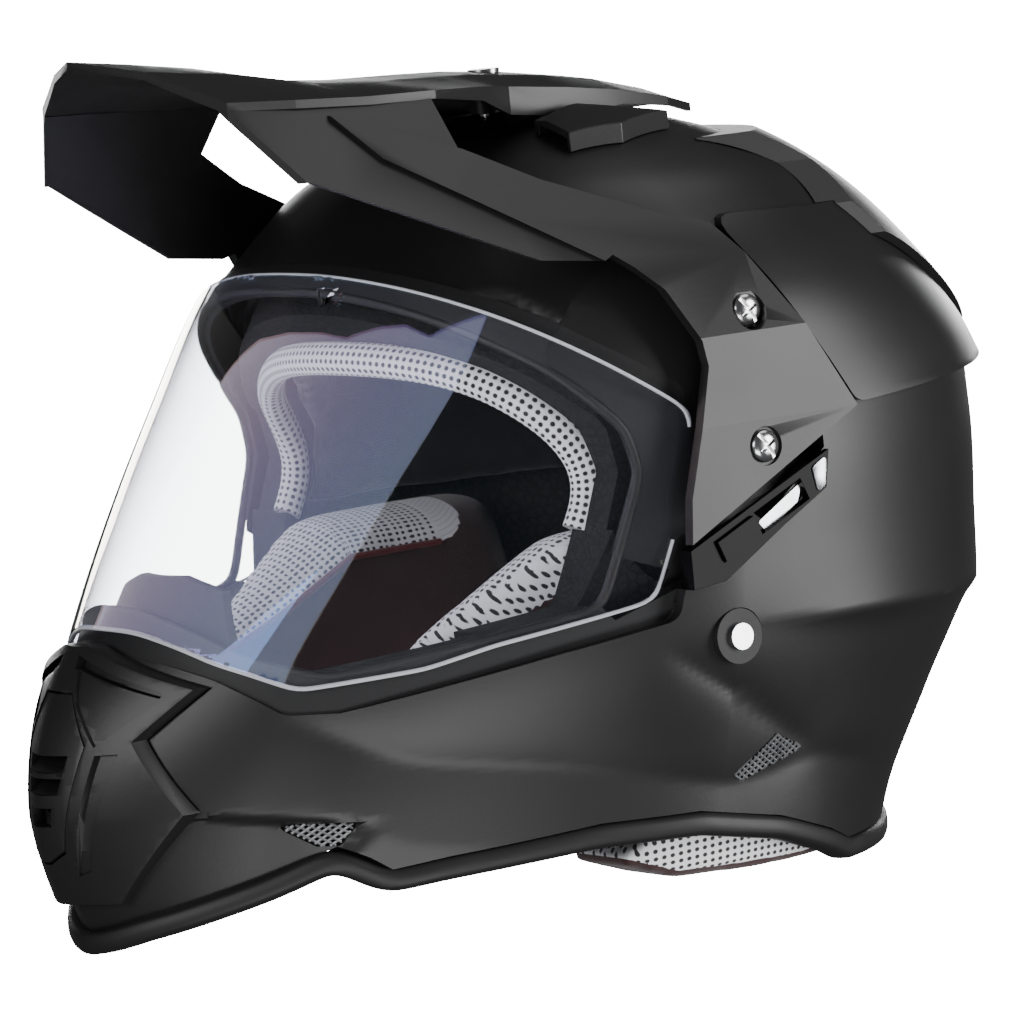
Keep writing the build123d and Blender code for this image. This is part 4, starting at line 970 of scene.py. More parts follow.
def bevelled(piece, width_mm, segments=2, angle=30.0):
    """Rounds a piece's edges."""
    return modify(piece, "BEVEL", width=width_mm * MM, segments=segments, limit_method="ANGLE",
                  angle_limit=math.radians(angle), harden_normals=False)


def build_shield():
    """The clear face shield with its round ears, and bores over the hubs."""
    low, high = 0.302 * SHELL_HEIGHT, 0.86 * SHELL_HEIGHT
    sheet = shield_layer(0, SHIELD_WALL, low, high, 150, 70, name="face_shield_sheet")
    ear = [(PIVOT[0] + EAR_RADIUS * math.cos(a), PIVOT[1] + EAR_RADIUS * math.sin(a))
           for a in np.linspace(math.pi / 2, -math.pi / 2, 18)]
    outline = rounded(side_view(SHIELD_LINE), 7) + ear
    carve(sheet, prism(outline, "X", -REACH, REACH), keep=True)
    carve(sheet, joined(side_disc(HUB_RADIUS, PIVOT, HALF_WIDTH / 2, REACH)))
    return bevelled(sheet, 0.4, 1, 60)


def build_shield_edge_highlights():
    """Rounded tubes along the upper and lower edges of the shield, whose off-white finish is a painted
    highlight for the light the edges gather along their whole length.
    """
    line = evenly(rounded(side_view(SHIELD_LINE), 7), 0.5)
    x = shield_reach(SHIELD_WALL / 2, line[:, 0], line[:, 1])
    half = np.column_stack([x, line])
    front = int(np.argmin(line[:, 0]))
    edges = []
    for run in (half[:front], half[:front:-1]):
        run = run[run[:, 0] > 1.2]
        both = np.vstack([run, (run * (-1, 1, 1))[::-1]])
        both = evenly([tuple(p) for p in both], 2.5)
        for _ in range(2):
            both[1:-1] = (both[:-2] + 2 * both[1:-1] + both[2:]) / 4
        normals = both - FACE_MIDDLE
        normals /= np.linalg.norm(normals, axis=1, keepdims=True)
        edges.append(swept("face_shield_edges", both, normals, oval(*EDGE_SIZE, 10), closed=False))
    return joined(edges)


def build_frame():
    """The dark frame between the shell and the shield, with the face opening in it."""
    low, high = 0.29 * SHELL_HEIGHT, 0.86 * SHELL_HEIGHT
    frame_wall = shield_layer(FRAME_OUTER, FRAME_INNER, low, high, 150, 60, name="eyeport_frame_moulding")
    carve(frame_wall, prism(rounded(side_view(SEAT), 6), "X", -REACH, REACH), keep=True)
    carve(frame_wall, prism(rounded(side_view(EYEPORT), 7), "X", -REACH, REACH))
    for side in (1, -1):
        room = hinge_room(0, side)
        carve(room, prism(side_view(POCKET), "X", -REACH, REACH), keep=True)
        carve(frame_wall, room)
    return frame_wall


def build_trim():
    """The rubber edging round the lower rim: a rounded tube that follows the rim line."""
    around = 480
    z = np.full(around, 20.0)
    line = np.array(side_view(RIM))
    turn = np.linspace(0, 2 * math.pi, around, endpoint=False)
    for _ in range(12):
        path = on_form(TRIM_DEPTH, turn, z)
        z = (z + np.interp(path[:, 1], line[:, 0], line[:, 1]) + TRIM_LIFT) / 2
    path = on_form(TRIM_DEPTH, turn, z)
    for _ in range(6):
        path = (np.roll(path, 1, axis=0) + 2 * path + np.roll(path, -1, axis=0)) / 4
    out = path - RIM_MIDDLE
    out[:, 2] = 0
    normals = out / np.linalg.norm(out, axis=1, keepdims=True)
    return swept("base_trim_edging", path, normals, oval(*TRIM_SIZE, 20, 3.0))


def on_form(depth, turn, z):
    """Points on the shell's surface drawn in by a depth, each at its own turn and height."""
    _, front, middle, back, side, fore, aft = rows_at(FORM, z / (SHELL_HEIGHT - depth)).T
    ahead = np.cos(turn) > 0
    power = np.where(ahead, fore, aft)
    x = np.sign(np.sin(turn)) * np.abs(np.sin(turn)) ** (2 / power) * side * (HALF_WIDTH - depth)
    reach = np.abs(np.cos(turn)) ** (2 / power)
    y = np.where(ahead, middle - (middle - front) * reach,
                 middle + (back - middle) * reach) * (HALF_LENGTH - depth)
    return np.stack([x, y, z], axis=-1)


def opening_line(depth):
    """The closed line of the face opening's edge under the shield's surface, and its outward normals."""
    line = evenly(rounded(side_view(EYEPORT), 7), 0.4)
    x = shield_reach(depth, line[:, 0], line[:, 1])
    half = np.column_stack([x, line])[x > 2.0]
    loop = np.vstack([half, (half * (-1, 1, 1))[::-1]])
    loop = evenly([tuple(p) for p in loop], 2.5, closed=True)
    for _ in range(3):
        loop = (np.roll(loop, 1, axis=0) + 2 * loop + np.roll(loop, -1, axis=0)) / 4
    normals = loop - FACE_MIDDLE
    return loop, normals / np.linalg.norm(normals, axis=1, keepdims=True)


def build_gasket():
    """The soft lip round the face opening, on the frame behind the shield."""
    line, normals = opening_line(GASKET_DEPTH)
    return swept("eyeport_gasket", line, normals, oval(*GASKET_SIZE, 12))


# A screw head: the half width and the floor of its slot, and how far its cross slot runs out.
SLOT_HALF, SLOT_FLOOR, CROSS_REACH = 0.65, 1.4, 3.1
# How deep the heads sit in the peak's sides, and how far their slots are turned.
SCREW_SINK, SCREW_TURN = 2.3, 0.6


def build_screw_head():
    """One domed screw head with a slot, 10.5 mm across, standing on the origin along Z."""
    rings, sides = [(0.0, 2.6), (2.6, 2.45), (4.2, 1.95), (5.0, 1.2), (5.25, 0.5), (5.25, 0.0)], 28
    points = [(0, 0, rings[0][1])]
    turns = [2 * math.pi * k / sides for k in range(sides)]
    for radius, high in rings[1:]:
        points += [(radius * math.cos(turn), radius * math.sin(turn), high) for turn in turns]
    faces = [(0, 1 + k, 1 + (k + 1) % sides) for k in range(sides)]
    faces += ring_faces(len(rings) - 1, sides, 1)
    last = 1 + (len(rings) - 2) * sides
    faces.append(tuple(last + k for k in range(sides)))
    head = tidy(mesh_of("screw_head", points, faces))
    for wide, deep in ((6, SLOT_HALF), (SLOT_HALF, CROSS_REACH)):
        outline = [(-wide, -deep), (wide, -deep), (wide, deep), (-wide, deep)]
        carve(head, prism(outline, "Z", SLOT_FLOOR, 6))
    return tidy(head, 28)


def seats_mesh(name, places):
    """Points for pieces, each with the way it faces."""
    seats = path_mesh(name, [[place] for place, way in places])
    ways = seats.data.attributes.new("way", "FLOAT_VECTOR", "POINT")
    for k, (place, way) in enumerate(places):
        ways.data[k].vector = way
    return seats


# For how many frames a cushion's cover swells.
CLOTH_STEPS = 12


def padded_form(piece, voxel_mm, smooth, pressure, cap_mm):
    """Rounds a cushion: remeshed, smoothed and, where a pressure is given, swelled as cloth under pressure
    with a cap.
    """
    modify(piece, "REMESH", mode="VOXEL", voxel_size=voxel_mm * MM)
    modify(piece, "SMOOTH", factor=0.6, iterations=smooth)
    if pressure:
        start = np.empty(3 * len(piece.data.vertices))
        piece.data.vertices.foreach_get("co", start)
        cloth = piece.modifiers.new("Cloth", "CLOTH")
        cloth.settings.use_pressure = True
        cloth.settings.uniform_pressure_force = pressure
        cloth.settings.effector_weights.gravity = 0.0
        cloth.point_cache.frame_end = CLOTH_STEPS
        for count in range(1, CLOTH_STEPS + 1):
            bpy.context.scene.frame_set(count)
        settle(piece)
        bpy.context.scene.frame_set(1)
        swelled = np.empty_like(start)
        piece.data.vertices.foreach_get("co", swelled)
        moved = (swelled - start).reshape(-1, 3)
        far = np.linalg.norm(moved, axis=1, keepdims=True)
        moved *= np.minimum(1, cap_mm * MM / np.maximum(far, 1e-9))
        piece.data.vertices.foreach_set("co", (start.reshape(-1, 3) + moved).ravel())
    modify(piece, "SUBSURF", levels=1, render_levels=1)
    return piece


def lay_cloth(piece, unroll):
    """Gives a piece a UV map in millimetres from a function of its points."""
    points = np.empty(3 * len(piece.data.vertices))
    piece.data.vertices.foreach_get("co", points)
    flat = unroll(points.reshape(-1, 3) / MM)
    spots = np.empty(len(piece.data.loops), int)
    piece.data.loops.foreach_get("vertex_index", spots)
    layer = piece.data.uv_layers.new(name="cloth")
    layer.data.foreach_set("uv", flat[spots].ravel())


# The brow band's middle line from the middle of the brow to the wearer's left cheek.
BAND_LINE = [
    (0, -48.5, 176.5), (22, -46.5, 176), (44, -40.5, 173.5), (62, -33.5, 168), (75, -26.5, 160),
    (81.5, -18, 150),
    (84, -12.5, 138.5), (84.8, -14, 128), (84.5, -18.5, 119.5),
]


def band_path():
    """The brow band's middle line from one cheek over the brow to the other, and its normals."""
    half = np.array(BAND_LINE, float)
    line = np.vstack([half[::-1] * (-1, 1, 1), half[1:]])
    for _ in range(3):
        middle = (line[:-1] + line[1:]) / 2
        mixed = np.empty((2 * len(line) - 1, 3))
        mixed[::2], mixed[1::2] = line, middle
        mixed[1:-1] = (mixed[:-2] + 2 * mixed[1:-1] + mixed[2:]) / 4
        line = mixed
    normals = np.array(BAND_MIDDLE) - line
    normals /= np.linalg.norm(normals, axis=1, keepdims=True)
    return line, -normals


def build_brow_band():
    """The rolled edge of the lining round the brow, in spacer mesh."""
    line, normals = band_path()
    return swept("brow_band_roll", line, normals, oval(*BAND_SIZE, 18), closed=False)


# A cheek pad's front edge in the side view.
CHEEK_SEAM = [(-90, 70), (-86, 82), (-76, 92), (-50, 103), (-19, 118.8), (20, 119)]


# How far from the middle a cheek pad's strip of mesh starts, and the middle and radius of the neck roll.
CHEEK_FACE, NECK_MIDDLE, NECK_RADIUS = 89, 20, 90


def seam_places(points):
    """How far side view places lie from a cheek pad's front edge, and how far along it."""
    line = evenly(CHEEK_SEAM, 1.0)
    runs = np.concatenate([[0], np.cumsum(np.linalg.norm(np.diff(line, axis=0), axis=1))])
    gaps = np.linalg.norm(points[:, None, 1:] - line[None], axis=2)
    near = gaps.argmin(axis=1)
    return gaps[np.arange(len(points)), near], runs[near]


def cheek_unroll(points):
    """A cheek pad's run along its front edge, and its girth across that edge."""
    far, along = seam_places(points)
    return np.stack([along, far + CHEEK_FACE - np.abs(points[:, 0])], axis=-1)


def roll_unroll(points):
    """The neck roll's run round the neck, and its height."""
    turn = np.arctan2(points[:, 0], points[:, 1] - NECK_MIDDLE)
    far = np.hypot(points[:, 0], points[:, 1] - NECK_MIDDLE)
    return np.stack([turn * NECK_RADIUS, points[:, 2] + far], axis=-1)


# Each cushion: its CAD node, its name, its voxel size, its rounds of smoothing, its pressure and its cap.
CUSHIONS = (
    ("cheek_pad_left", "cheek_cushion_left", 3.5, 10, 3.0, 2.0),
    ("cheek_pad_right", "cheek_cushion_right", 3.5, 10, 3.0, 2.0),
    ("crown_pad", "crown_cushion", 3.5, 6, 2.0, 1.5),
    ("neck_roll", "neck_cushion", 2.5, 4, 0, 0),
)


def build_pads():
    """The cheek pads, crown pad and neck roll as soft forms from their CAD solids."""
    return {node: padded_form(node_copy(node, name), *sizes) for node, name, *sizes in CUSHIONS}


# The neck roll's lower edge by the place along it. Its mesh starts above that edge.
ROLL_LOW = [(-21.6, 13.9), (0, 6.0), (50, 3.5), (75.9, 3.0), (129.4, 6.0), (172.5, 9.9)]
# What each cushion is made of, a name for its material slot, and how its cloth lies.
LINING = {"cheek": ("pad", "white_mesh", cheek_unroll), "crown": ("dark", "dark_fabric", roll_unroll),
          "neck": ("pad", "white_mesh", roll_unroll)}
# The width of the strip of mesh at a cheek pad's front edge.
STRIP = 13.0
# The slider's bright parts in the side view: the lining of its groove and the plate at its end.
# The lining lies under the slider by a little, and the end plate stands between two half widths.
WINDOW_SINK, WINDOW_THICK, END_DEPTHS = 0.26, 0.2, (125.9, 126.5)
SLIDER_WINDOW = [(0.128, 0.4745), (0.236, 0.5175), (0.222, 0.4920), (0.146, 0.4610)]
SLIDER_END = [(0.252, 0.5330), (0.289, 0.5475), (0.281, 0.5090), (0.262, 0.4995)]


def share_mesh(pad, name):
    """Marks where a cushion is covered in mesh: a strip at a cheek's edge, and most of the neck roll."""
    points = np.empty(3 * len(pad.data.vertices))
    pad.data.vertices.foreach_get("co", points)
    points = points.reshape(-1, 3) / MM
    if name == "neck_roll":
        share = eased(points[:, 2] - np.interp(points[:, 1], *np.array(ROLL_LOW).T), 2.0, 3.0)
    else:
        share = 1 - eased(seam_places(points)[0], STRIP - 0.8, STRIP + 0.8)
    layer = pad.data.attributes.new("mesh_share", "FLOAT", "POINT")
    layer.data.foreach_set("value", share)


def seam_lines(pads):
    """The line where each cheek pad's strip of mesh ends, on the pad's inner face."""
    lines = []
    line = evenly(CHEEK_SEAM, 2.0)
    for side, sign in (("left", 1), ("right", -1)):
        pad = pads[f"cheek_pad_{side}"]
        points = np.empty(3 * len(pad.data.vertices))
        pad.data.vertices.foreach_get("co", points)
        points = points.reshape(-1, 3) / MM
        ways = np.gradient(line, axis=0)
        ways /= np.linalg.norm(ways, axis=1, keepdims=True)
        places = line + STRIP * np.stack([ways[:, 1], -ways[:, 0]], axis=-1)
        path = []
        for y, z in places:
            near = points[np.hypot(points[:, 1] - y, points[:, 2] - z) < 2.2]
            if len(near):
                path.append((sign * np.abs(near[:, 0]).min(), y, z))
        path = np.array(path)
        for _ in range(4):
            path[1:-1] = (path[:-2] + 2 * path[1:-1] + path[2:]) / 4
        lines.append(path)
    return lines


# The lattice in the small vents: from wire to wire, and how steeply the wires rise.
WIRE_PITCH, WIRE_SLOPE = 2.1, 0.75


def wire_patch(outline, depth):
    """A lattice of slanting wires inside a small window of the shell's side."""
    outline = np.array(side_view(outline))
    low, high = outline.min(axis=0) - 1, outline.max(axis=0) + 1
    window = rounded([tuple(p) for p in outline], 1.5)
    lines = []
    for slope in (WIRE_SLOPE, -WIRE_SLOPE):
        for shift in np.arange(-80, 80, WIRE_PITCH):
            middle = (low + high) / 2
            run = np.linspace(-40, 40, 161)
            y = middle[0] + run
            z = middle[1] + slope * run + shift
            keep = np.array([inside(window, a, b) for a, b in zip(y, z)])
            if keep.sum() > 1:
                first, last = np.argmax(keep), len(keep) - np.argmax(keep[::-1])
                y, z = y[first:last], z[first:last]
                lines.append(np.stack([shell_reach(depth, y, z), y, z], axis=-1))
    return lines


def inside(outline, a, b):
    """Whether a point lies in a closed outline."""
    hit = False
    for (a0, b0), (a1, b1) in zip(outline, outline[1:] + outline[:1]):
        if (b0 > b) != (b1 > b) and a < (a1 - a0) * (b - b0) / (b1 - b0) + a0:
            hit = not hit
    return hit


# The chin's plate and louvre in the front view: outlines on the wearer's left, mirrored where they close.
CHIN_PLATE = [(7.4, 99.0), (44.0, 85.2), (29.6, 70.2), (41.6, 46.6), (19.6, 19.0)]
PLATE_PANEL = [(5.2, 96.4), (38.0, 83.6), (19.0, 69.0), (10.0, 82.4)]
PLATE_SLOT = [(4.4, 96.6), (36.0, 84.9), (34.8, 82.9), (5.2, 92.6)]
PLATE_RIB = [(19.6, 66.6), (26.4, 66.8), (14.8, 30.0), (10.6, 28.4)]
LOUVRE = [(7.2, 85.0), (15.6, 69.2), (8.2, 36.8), (2.0, 33.2)]
LOUVRE_OPENINGS = [[(10.6, 66.6), (9.4, 61.2)], [(9.0, 59.6), (7.8, 54.4)], [(5.6, 50.4), (5.0, 44.4)]]


def sunk(plate, outline, inner, outer=-9.0):
    """Sinks a mirrored field with an outline in the front view into a plate, down to an inner depth."""
    for side in (1, -1):
        heights = [z for x, z in outline]
        cut = shell_layer(outer, inner, min(heights) - 4, max(heights) + 4, 160, 24, name="tool")
        carve(cut, prism([(side * x, z) for x, z in outline], "Y", -REACH, CHIN_BACK), keep=True)
        carve(plate, cut)


def raised(name, outline, outer, inner, shape=None):
    """A plate over the chin between two depths, with an outline in the front view."""
    heights = [z for x, z in outline]
    plate = shell_layer(outer, inner, min(heights) - 6, max(heights) + 6, 200, 70, shape, name)
    return carve(plate, prism(outline, "Y", -REACH, CHIN_BACK), keep=True)


def leaning(grid):
    """Draws the plate's foot in below its fold."""
    fall = np.clip(46 - grid[..., 2], 0, 30) * 0.07
    return grid - outward(grid) * fall[..., None]


def build_chin_plate(edge):
    """The raised plate round the chin vent, with its sunk panel, slots, ribs and bevelled edges."""
    plate = raised("chin_vent_surround_moulding", both_halves(CHIN_PLATE), *PLATE_DEPTHS, leaning)
    carve(plate, over_rim(PLATE_FOOT), keep=True)
    carve(plate, prism(grown(both_halves(LOUVRE), 0.9), "Y", -REACH, CHIN_BACK))
    bevelled(plate, edge / MM * 1.4, 3)
    for outline, depth in ((PLATE_PANEL, -4.5), (PLATE_SLOT, -2.4), (PLATE_RIB, -3.2)):
        sunk(plate, outline, depth)
    return bevelled(plate, 0.25, 1, 50)


# The slats' front as a share of the half length, and how far each steps back with its height.
SLAT_FRONT, SLAT_STEP = -1.003, 0.12


def build_louvre():
    """The louvre in the chin's middle: a keeled plate with two slots between slats and a small window."""
    louvre = raised("chin_vent_louvre_moulding", both_halves(LOUVRE), *LOUVRE_DEPTHS)
    for (high_x, high), (low_x, low) in LOUVRE_OPENINGS:
        carve(louvre, prism(both_halves([(high_x, high), (low_x, low)]), "Y", -REACH, CHIN_BACK))
    bevelled(louvre, 0.5, 2, 40)
    slats = []
    for (high_x, high), (low_x, low) in LOUVRE_OPENINGS[:2]:
        front = SLAT_FRONT * HALF_LENGTH + SLAT_STEP * (high - 54)
        outline = [(front, low + 0.4), (front + 9, high + 0.6), (front + 9, high - 1.2), (front, low - 0.8)]
        slats.append(prism(outline, "X", -low_x, low_x))
    return joined([louvre, *slats])


class HelmetSizes(bpy.types.PropertyGroup):
    """Sizes of the dressed pieces."""
    edge: bpy.props.FloatProperty(name="Edge rounding", description="Rounding of moulded edges",
                                  default=0.0008, unit="LENGTH", subtype="DISTANCE")
    wire: bpy.props.FloatProperty(name="Vent wire", description="Radius of the wires in the small vents",
                                  default=0.00042, unit="LENGTH", subtype="DISTANCE")
    piping: bpy.props.FloatProperty(name="Piping", description="Radius of the piping round the lining",
                                    default=0.0012, unit="LENGTH", subtype="DISTANCE")
    shell_colour: bpy.props.FloatVectorProperty(
        name="Shell colour", description="Colour of the shell and peak",
        size=4, min=0.0, max=1.0, default=linear("1c1b1b"), subtype="COLOR")
    piping_colour: bpy.props.FloatVectorProperty(
        name="Piping colour", description="Colour of the lining's piping",
        size=4, min=0.0, max=1.0, default=linear("6b1c20"), subtype="COLOR")


class HELMET_OT_shell(bpy.types.Operator):
    """Make the outer shell with its openings, folds and raised back"""
    bl_idname = "helmet.shell"
    bl_label = "Outer shell"

    def execute(self, context):
        shell = build_shell()
        shell.name = "outer_shell_moulding"
        dress(shell, "helmet", FINISH["shell"], "matte_shell", "outer_shell", angle=40)
        return {"FINISHED"}


class HELMET_OT_trim(bpy.types.Operator):
    """Make the rubber edging of the rim"""
    bl_idname = "helmet.trim"
    bl_label = "Rim edging"

    def execute(self, context):
        dress(build_trim(), "helmet", FINISH["rubber"], "rim_rubber", "base_trim", angle=40)
        return {"FINISHED"}


class HELMET_OT_face(bpy.types.Operator):
    """Make the clear shield and the frame of the face opening"""
    bl_idname = "helmet.face"
    bl_label = "Shield and frame"

    def execute(self, context):
        shield = dress(build_shield(), "face_shield", FINISH["clear"], "clear_shield", "face_shield",
                       angle=40)
        # Tubes on the shield's edges, their off-white finish a painted highlight.
        dress(build_shield_edge_highlights(), "face_shield", FINISH["edge"], "clear_shield", angle=60)
        build_panel(context, shield)
        dress(build_frame(), "helmet", FINISH["nylon"], "black_plastic", "eyeport_frame", angle=40)
        dress(build_gasket(), "helmet", FINISH["rubber"], "black_plastic", angle=60)
        keep_node("shield_tab", FINISH["clear"])
        keep_node("sun_visor", FINISH["smoke"])
        for name in ("sun_visor_pivots", "pivot_base_left", "pivot_base_right", "shield_washers"):
            keep_node(name, FINISH["nylon"])
        return {"FINISHED"}


class HELMET_OT_peak(bpy.types.Operator):
    """Make the peak with rounded edges"""
    bl_idname = "helmet.peak"
    bl_label = "Peak"

    def execute(self, context):
        peak = bevelled(node_copy("peak", "peak_moulding", 20), 0.8, 2, 20)
        dress(peak, "helmet", FINISH["shell"], "matte_shell", "peak")
        return {"FINISHED"}


class HELMET_OT_vents(bpy.types.Operator):
    """Make the chin vent, the crown scoops, the rear spoiler and the small wire vents"""
    bl_idname = "helmet.vents"
    bl_label = "Vents"

    def execute(self, context):
        sizes = context.scene.helmet_sizes
        edge = sizes.edge / MM
        for name in ("crown_vent_left", "crown_vent_right", "rear_spoiler"):
            piece = bevelled(node_copy(name, f"{name}_moulding", 25), edge, 2, 30)
            slot = "matte_shell" if name == "rear_spoiler" else "black_plastic"
            dress(piece, "helmet", FINISH["shell"], slot, name)
        dress(build_chin_plate(sizes.edge), "helmet", FINISH["shell"], "black_plastic",
              "chin_vent_surround", angle=30)
        dress(build_louvre(), "helmet", FINISH["shell"], "black_plastic", "chin_vent_louvre", angle=30)
        keep_node("chin_vent_shutter", FINISH["nylon"])
        keep_node("breath_guard", FINISH["nylon"])
        tree = bead_tree()
        for label, outline in (("front", FRONT_MESH), ("rear", REAR_MESH)):
            for side, sign in (("left", 1), ("right", -1)):
                lines = [line * (sign, 1, 1) for line in wire_patch(outline, 1.6)]
                wires = path_mesh(f"{label}_vent_wires_{side}", lines)
                grow(wires, tree, Radius=sizes.wire, Sides=6, Material=FINISH["wire"])
                dress(wires, "helmet", FINISH["wire"], "silver_mesh", f"{label}_mesh_{side}", angle=50)
        return {"FINISHED"}


class HELMET_OT_screws(bpy.types.Operator):
    """Make the bright slotted screws of the peak"""
    bl_idname = "helmet.screws"
    bl_label = "Screws"

    def execute(self, context):
        head = build_screw_head()
        seats = []
        for name in ("peak_screws_lower", "peak_screws_upper"):
            low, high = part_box(name)
            y, z = (low.y + high.y) / 2 / MM, (low.z + high.z) / 2 / MM
            for sign in (1, -1):
                seats.append(((sign * (high.x / MM - SCREW_SINK), y, z), (sign, 0, 0)))
        screws = seats_mesh("peak_screw_heads", seats)
        grow(screws, places_tree(), Piece=head, Turn=SCREW_TURN, Material=FINISH["screw"])
        dress(screws, "helmet", FINISH["screw"], "bright_screw", "peak_screws_lower", "peak_screws_upper",
              angle=28)
        bpy.data.objects.remove(head)
        for name in ("peak_top_screw", "strap_rivets"):
            keep_node(name, FINISH["screw"])
        keep_node("rivet_washers", FINISH["nylon"])
        return {"FINISHED"}


class HELMET_OT_slider(bpy.types.Operator):
    """Make the visor's slider and its housing"""
    bl_idname = "helmet.slider"
    bl_label = "Visor slider"

    def execute(self, context):
        housing = bevelled(node_copy("slider_housing", "slider_housing_moulding", 25), 0.5)
        dress(housing, "helmet", FINISH["gloss"], "gloss_black", "slider_housing")
        keep_node("sun_visor_slider", FINISH["gloss"])
        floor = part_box("sun_visor_slider")[0].x / MM - WINDOW_SINK
        window = bevelled(prism(rounded(side_view(SLIDER_WINDOW), 1.0), "X", floor, floor + WINDOW_THICK),
                          0.05, 1)
        window.name = "slider_groove_lining"
        dress(window, "helmet", FINISH["silver"], "gloss_black", angle=30)
        end = bevelled(prism(rounded(side_view(SLIDER_END), 1.5), "X", *END_DEPTHS), 0.2, 2)
        end.name = "slider_end_plate"
        dress(end, "helmet", FINISH["silver"], "gloss_black", angle=30)
        return {"FINISHED"}


class HELMET_OT_lining(bpy.types.Operator):
    """Make the foam, the cheek pads, the crown pad, the brow band and the neck roll"""
    bl_idname = "helmet.lining"
    bl_label = "Lining"

    def execute(self, context):
        for name in ("shell_liner", "chin_liner"):
            keep_node(name, FINISH["foam"])
        band = build_brow_band()
        dress(band, "helmet", FINISH["mesh"], "white_mesh", "brow_band", angle=60)
        pads = build_pads()
        for name, pad in pads.items():
            cloth, slot, unroll = LINING[name.split("_")[0]]
            lay_cloth(pad, unroll)
            if cloth == "pad":
                share_mesh(pad, name)
            dress(pad, "helmet", FINISH[cloth], slot, name, angle=60)
        piping = path_mesh("lining_piping", seam_lines(pads))
        grow(piping, bead_tree(), Radius=context.scene.helmet_sizes.piping, Sides=8,
             Material=FINISH["piping"])
        dress(piping, "helmet", FINISH["piping"], "dark_fabric", angle=60)
        return {"FINISHED"}


class HELMET_OT_straps(bpy.types.Operator):
    """Finish the chin strap and its ratchet buckle"""
    bl_idname = "helmet.straps"
    bl_label = "Chin strap"

    def execute(self, context):
        for name in ("strap_left", "strap_right"):
            keep_node(name, FINISH["webbing"])
        keep_node("buckle_body", FINISH["nylon"])
        keep_node("buckle_lever", FINISH["red"])
        for name in ("buckle_pin", "buckle_tongue"):
            keep_node(name, FINISH["steel"])
        return {"FINISHED"}


# Each soft light: its place in metres, its width and height, and its power in watts.
SOFTBOXES = (
    ("side_softbox", (2.1, 1.7, 0.30), 1.2, 1.9, 68.0),
    ("top_softbox", (0.3, 0.9, 2.4), 1.6, 1.6, 11.0),
    ("front_softbox", (0.7, -2.4, 0.8), 1.2, 0.8, 22.0),
    ("low_fill", (1.6, -0.9, -0.9), 1.4, 0.6, 17.0),
    ("back_softbox", (-1.8, 1.3, 0.32), 2.4, 0.3, 34.0),
)
# The tall panel that the shield mirrors: its middle, its two sizes, its lean and its power.
PANEL = ((-3.59, -2.2, 1.09), 10.0, 9.0, 17.6, 650.0)
# The camera: its turn from the front, its rise, the helmet's lean, its distance and the spot it sees.
CAMERA_TURN, CAMERA_RISE, HELMET_LEAN = math.radians(55), math.radians(2.3), math.radians(-6.5)
CAMERA_FAR, CAMERA_SPOT = 2.2, Vector((0, 0.015, 0.118))
SENSOR, FOCAL_SHARE = 36, 6710 / 1024
# The room's light on the helmet, its change where a glossy surface mirrors it, and the ground's glow.
ROOM_LIGHT, MIRRORED_CHANGE, GROUND_GLOW = 0.34, -0.26, 22.0
LAMP_SPOT = Vector((0, 0, 0.13))


def build_panel(context, *mirrors):
    """A large soft panel before the shield, which lights nothing but the pieces that mirror it."""
    place, wide, high, lean, power = PANEL
    light = bpy.data.lights.new("mirrored_panel", "AREA")
    light.shape, light.size, light.size_y, light.energy = "RECTANGLE", wide, high, power
    light.color = linear("d9d6ee")[:3]
    lamp = bpy.data.objects.new("mirrored_panel", light)
    facing = Matrix.Rotation(math.radians(90), 4, "X") @ Matrix.Rotation(math.radians(lean), 4, "Z")
    lamp.matrix_world = Matrix.Translation(place) @ facing
    context.scene.collection.objects.link(lamp)
    group = bpy.data.collections.new("mirrors")
    for piece in mirrors:
        group.objects.link(piece)
    lamp.light_linking.receiver_collection = group


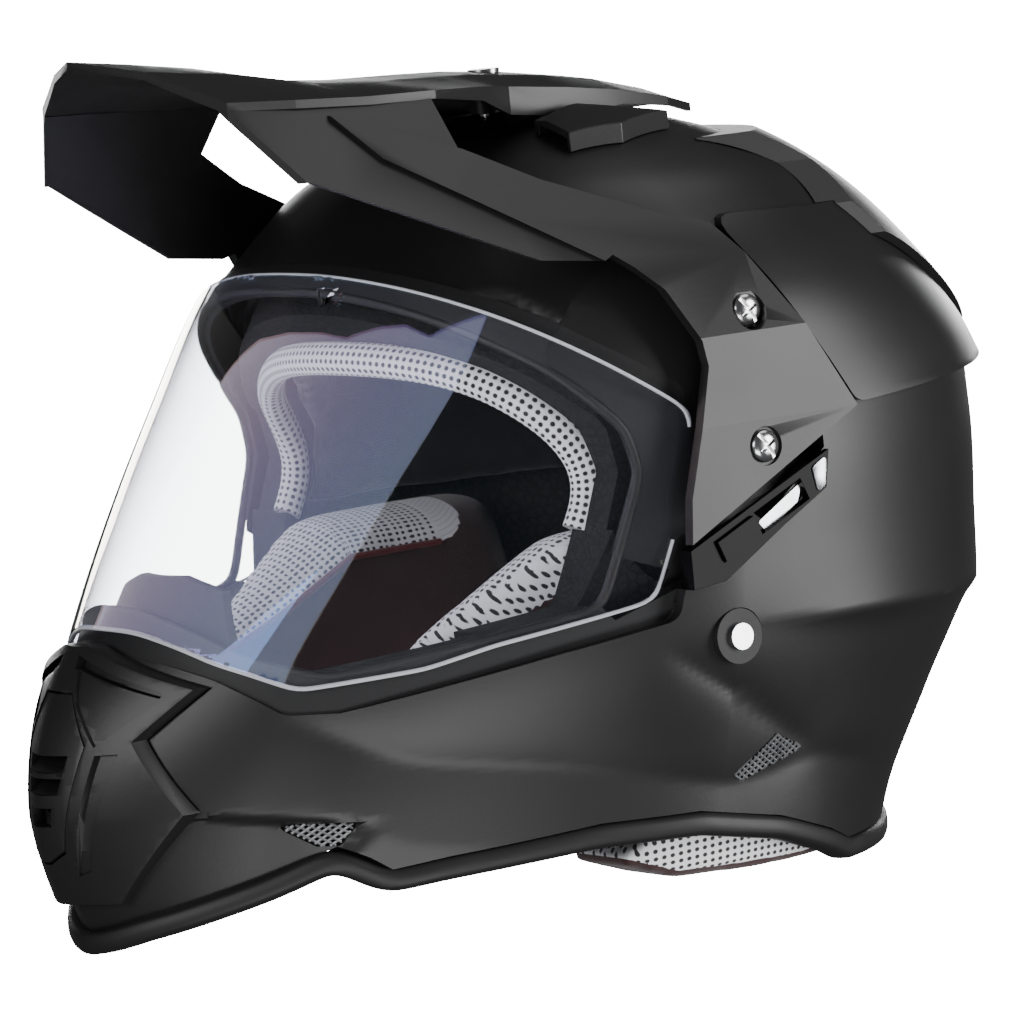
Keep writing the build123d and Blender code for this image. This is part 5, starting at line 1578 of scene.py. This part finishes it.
class HELMET_OT_stage(bpy.types.Operator):
    """Make the soft studio light and the camera"""
    bl_idname = "helmet.stage"
    bl_label = "Stage"

    def execute(self, context):
        world = bpy.data.worlds.new("white_room")
        world.use_nodes = True
        tree = world.node_tree
        lit = tree.nodes["Background"]
        lit.inputs["Color"].default_value = linear("f4f6f8")
        seen = add_node(tree, "ShaderNodeBackground", {"Color": (1, 1, 1, 1), "Strength": GROUND_GLOW})
        path = add_node(tree, "ShaderNodeLightPath")
        dimmed = add_node(tree, "ShaderNodeMath", {1: MIRRORED_CHANGE, 2: ROOM_LIGHT},
                          {0: path.outputs["Is Glossy Ray"]},
                          operation="MULTIPLY_ADD")
        tree.links.new(dimmed.outputs[0], lit.inputs["Strength"])
        bounces = add_node(tree, "ShaderNodeMath", operation="ADD",
                           links={0: path.outputs["Diffuse Depth"], 1: path.outputs["Glossy Depth"]})
        none = add_node(tree, "ShaderNodeMath", {1: 0.5}, {0: bounces.outputs[0]}, operation="LESS_THAN")
        through = add_node(tree, "ShaderNodeMath", operation="MULTIPLY",
                           links={0: path.outputs["Is Transmission Ray"], 1: none.outputs[0]})
        direct = add_node(tree, "ShaderNodeMath", operation="MAXIMUM",
                          links={0: path.outputs["Is Camera Ray"], 1: through.outputs[0]})
        both = add_node(tree, "ShaderNodeMixShader",
                        links={0: direct.outputs[0], 1: lit.outputs[0], 2: seen.outputs[0]})
        tree.links.new(both.outputs[0], tree.nodes["World Output"].inputs["Surface"])
        context.scene.world = world
        for name, place, wide, high, power in SOFTBOXES:
            light = bpy.data.lights.new(name, "AREA")
            light.shape, light.size, light.size_y, light.energy = "RECTANGLE", wide, high, power
            lamp = bpy.data.objects.new(name, light)
            lamp.location = place
            lamp.visible_camera = lamp.visible_transmission = False
            way = LAMP_SPOT - Vector(place)
            lamp.rotation_euler = way.to_track_quat("-Z", "Y").to_euler()
            context.scene.collection.objects.link(lamp)
        turn, level = CAMERA_TURN, math.cos(CAMERA_RISE)
        ahead = Vector((-math.sin(turn) * level, math.cos(turn) * level, -math.sin(CAMERA_RISE)))
        right = Vector((math.cos(turn), math.sin(turn), 0))
        above = right.cross(ahead)
        lean = Matrix.Rotation(HELMET_LEAN, 3, "X")
        lens = bpy.data.cameras.new("photo_camera")
        lens.lens, lens.sensor_width, lens.sensor_fit = FOCAL_SHARE * SENSOR, SENSOR, "HORIZONTAL"
        lens.clip_end = 50
        camera = bpy.data.objects.new("photo_camera", lens)
        axes = Matrix((lean @ right, lean @ above, lean @ -ahead)).transposed().to_4x4()
        axes.translation = lean @ (-ahead * CAMERA_FAR) + CAMERA_SPOT
        camera.matrix_world = axes
        context.scene.collection.objects.link(camera)
        context.scene.camera = camera
        return {"FINISHED"}


STEPS = (HELMET_OT_stage, HELMET_OT_shell, HELMET_OT_trim, HELMET_OT_face, HELMET_OT_peak, HELMET_OT_vents,
         HELMET_OT_screws, HELMET_OT_slider, HELMET_OT_lining, HELMET_OT_straps)


class HELMET_PT_panel(bpy.types.Panel):
    """Lists the helmet's sizes and steps."""
    bl_idname = "HELMET_PT_panel"
    bl_label = "Dual sport helmet"
    bl_space_type = "VIEW_3D"
    bl_region_type = "UI"
    bl_category = "Helmet"

    def draw(self, context):
        for name in ("edge", "wire", "piping", "shell_colour", "piping_colour"):
            self.layout.prop(context.scene.helmet_sizes, name)
        for step in STEPS:
            self.layout.operator(step.bl_idname)


CLASSES = (HelmetSizes, *STEPS, HELMET_PT_panel)


def register():
    for each in CLASSES:
        bpy.utils.register_class(each)
    bpy.types.Scene.helmet_sizes = bpy.props.PointerProperty(type=HelmetSizes)


def unregister():
    del bpy.types.Scene.helmet_sizes
    for each in reversed(CLASSES):
        bpy.utils.unregister_class(each)


def plain(box):
    """A box as plain lists of numbers."""
    return [[float(c) for c in corner] for corner in box]


def main():
    """Runs every step in order."""
    register()
    make_finishes()
    for step in STEPS:
        group, name = step.bl_idname.split(".")
        getattr(getattr(bpy.ops, group), name)()


if __name__ == "__main__":
    main()
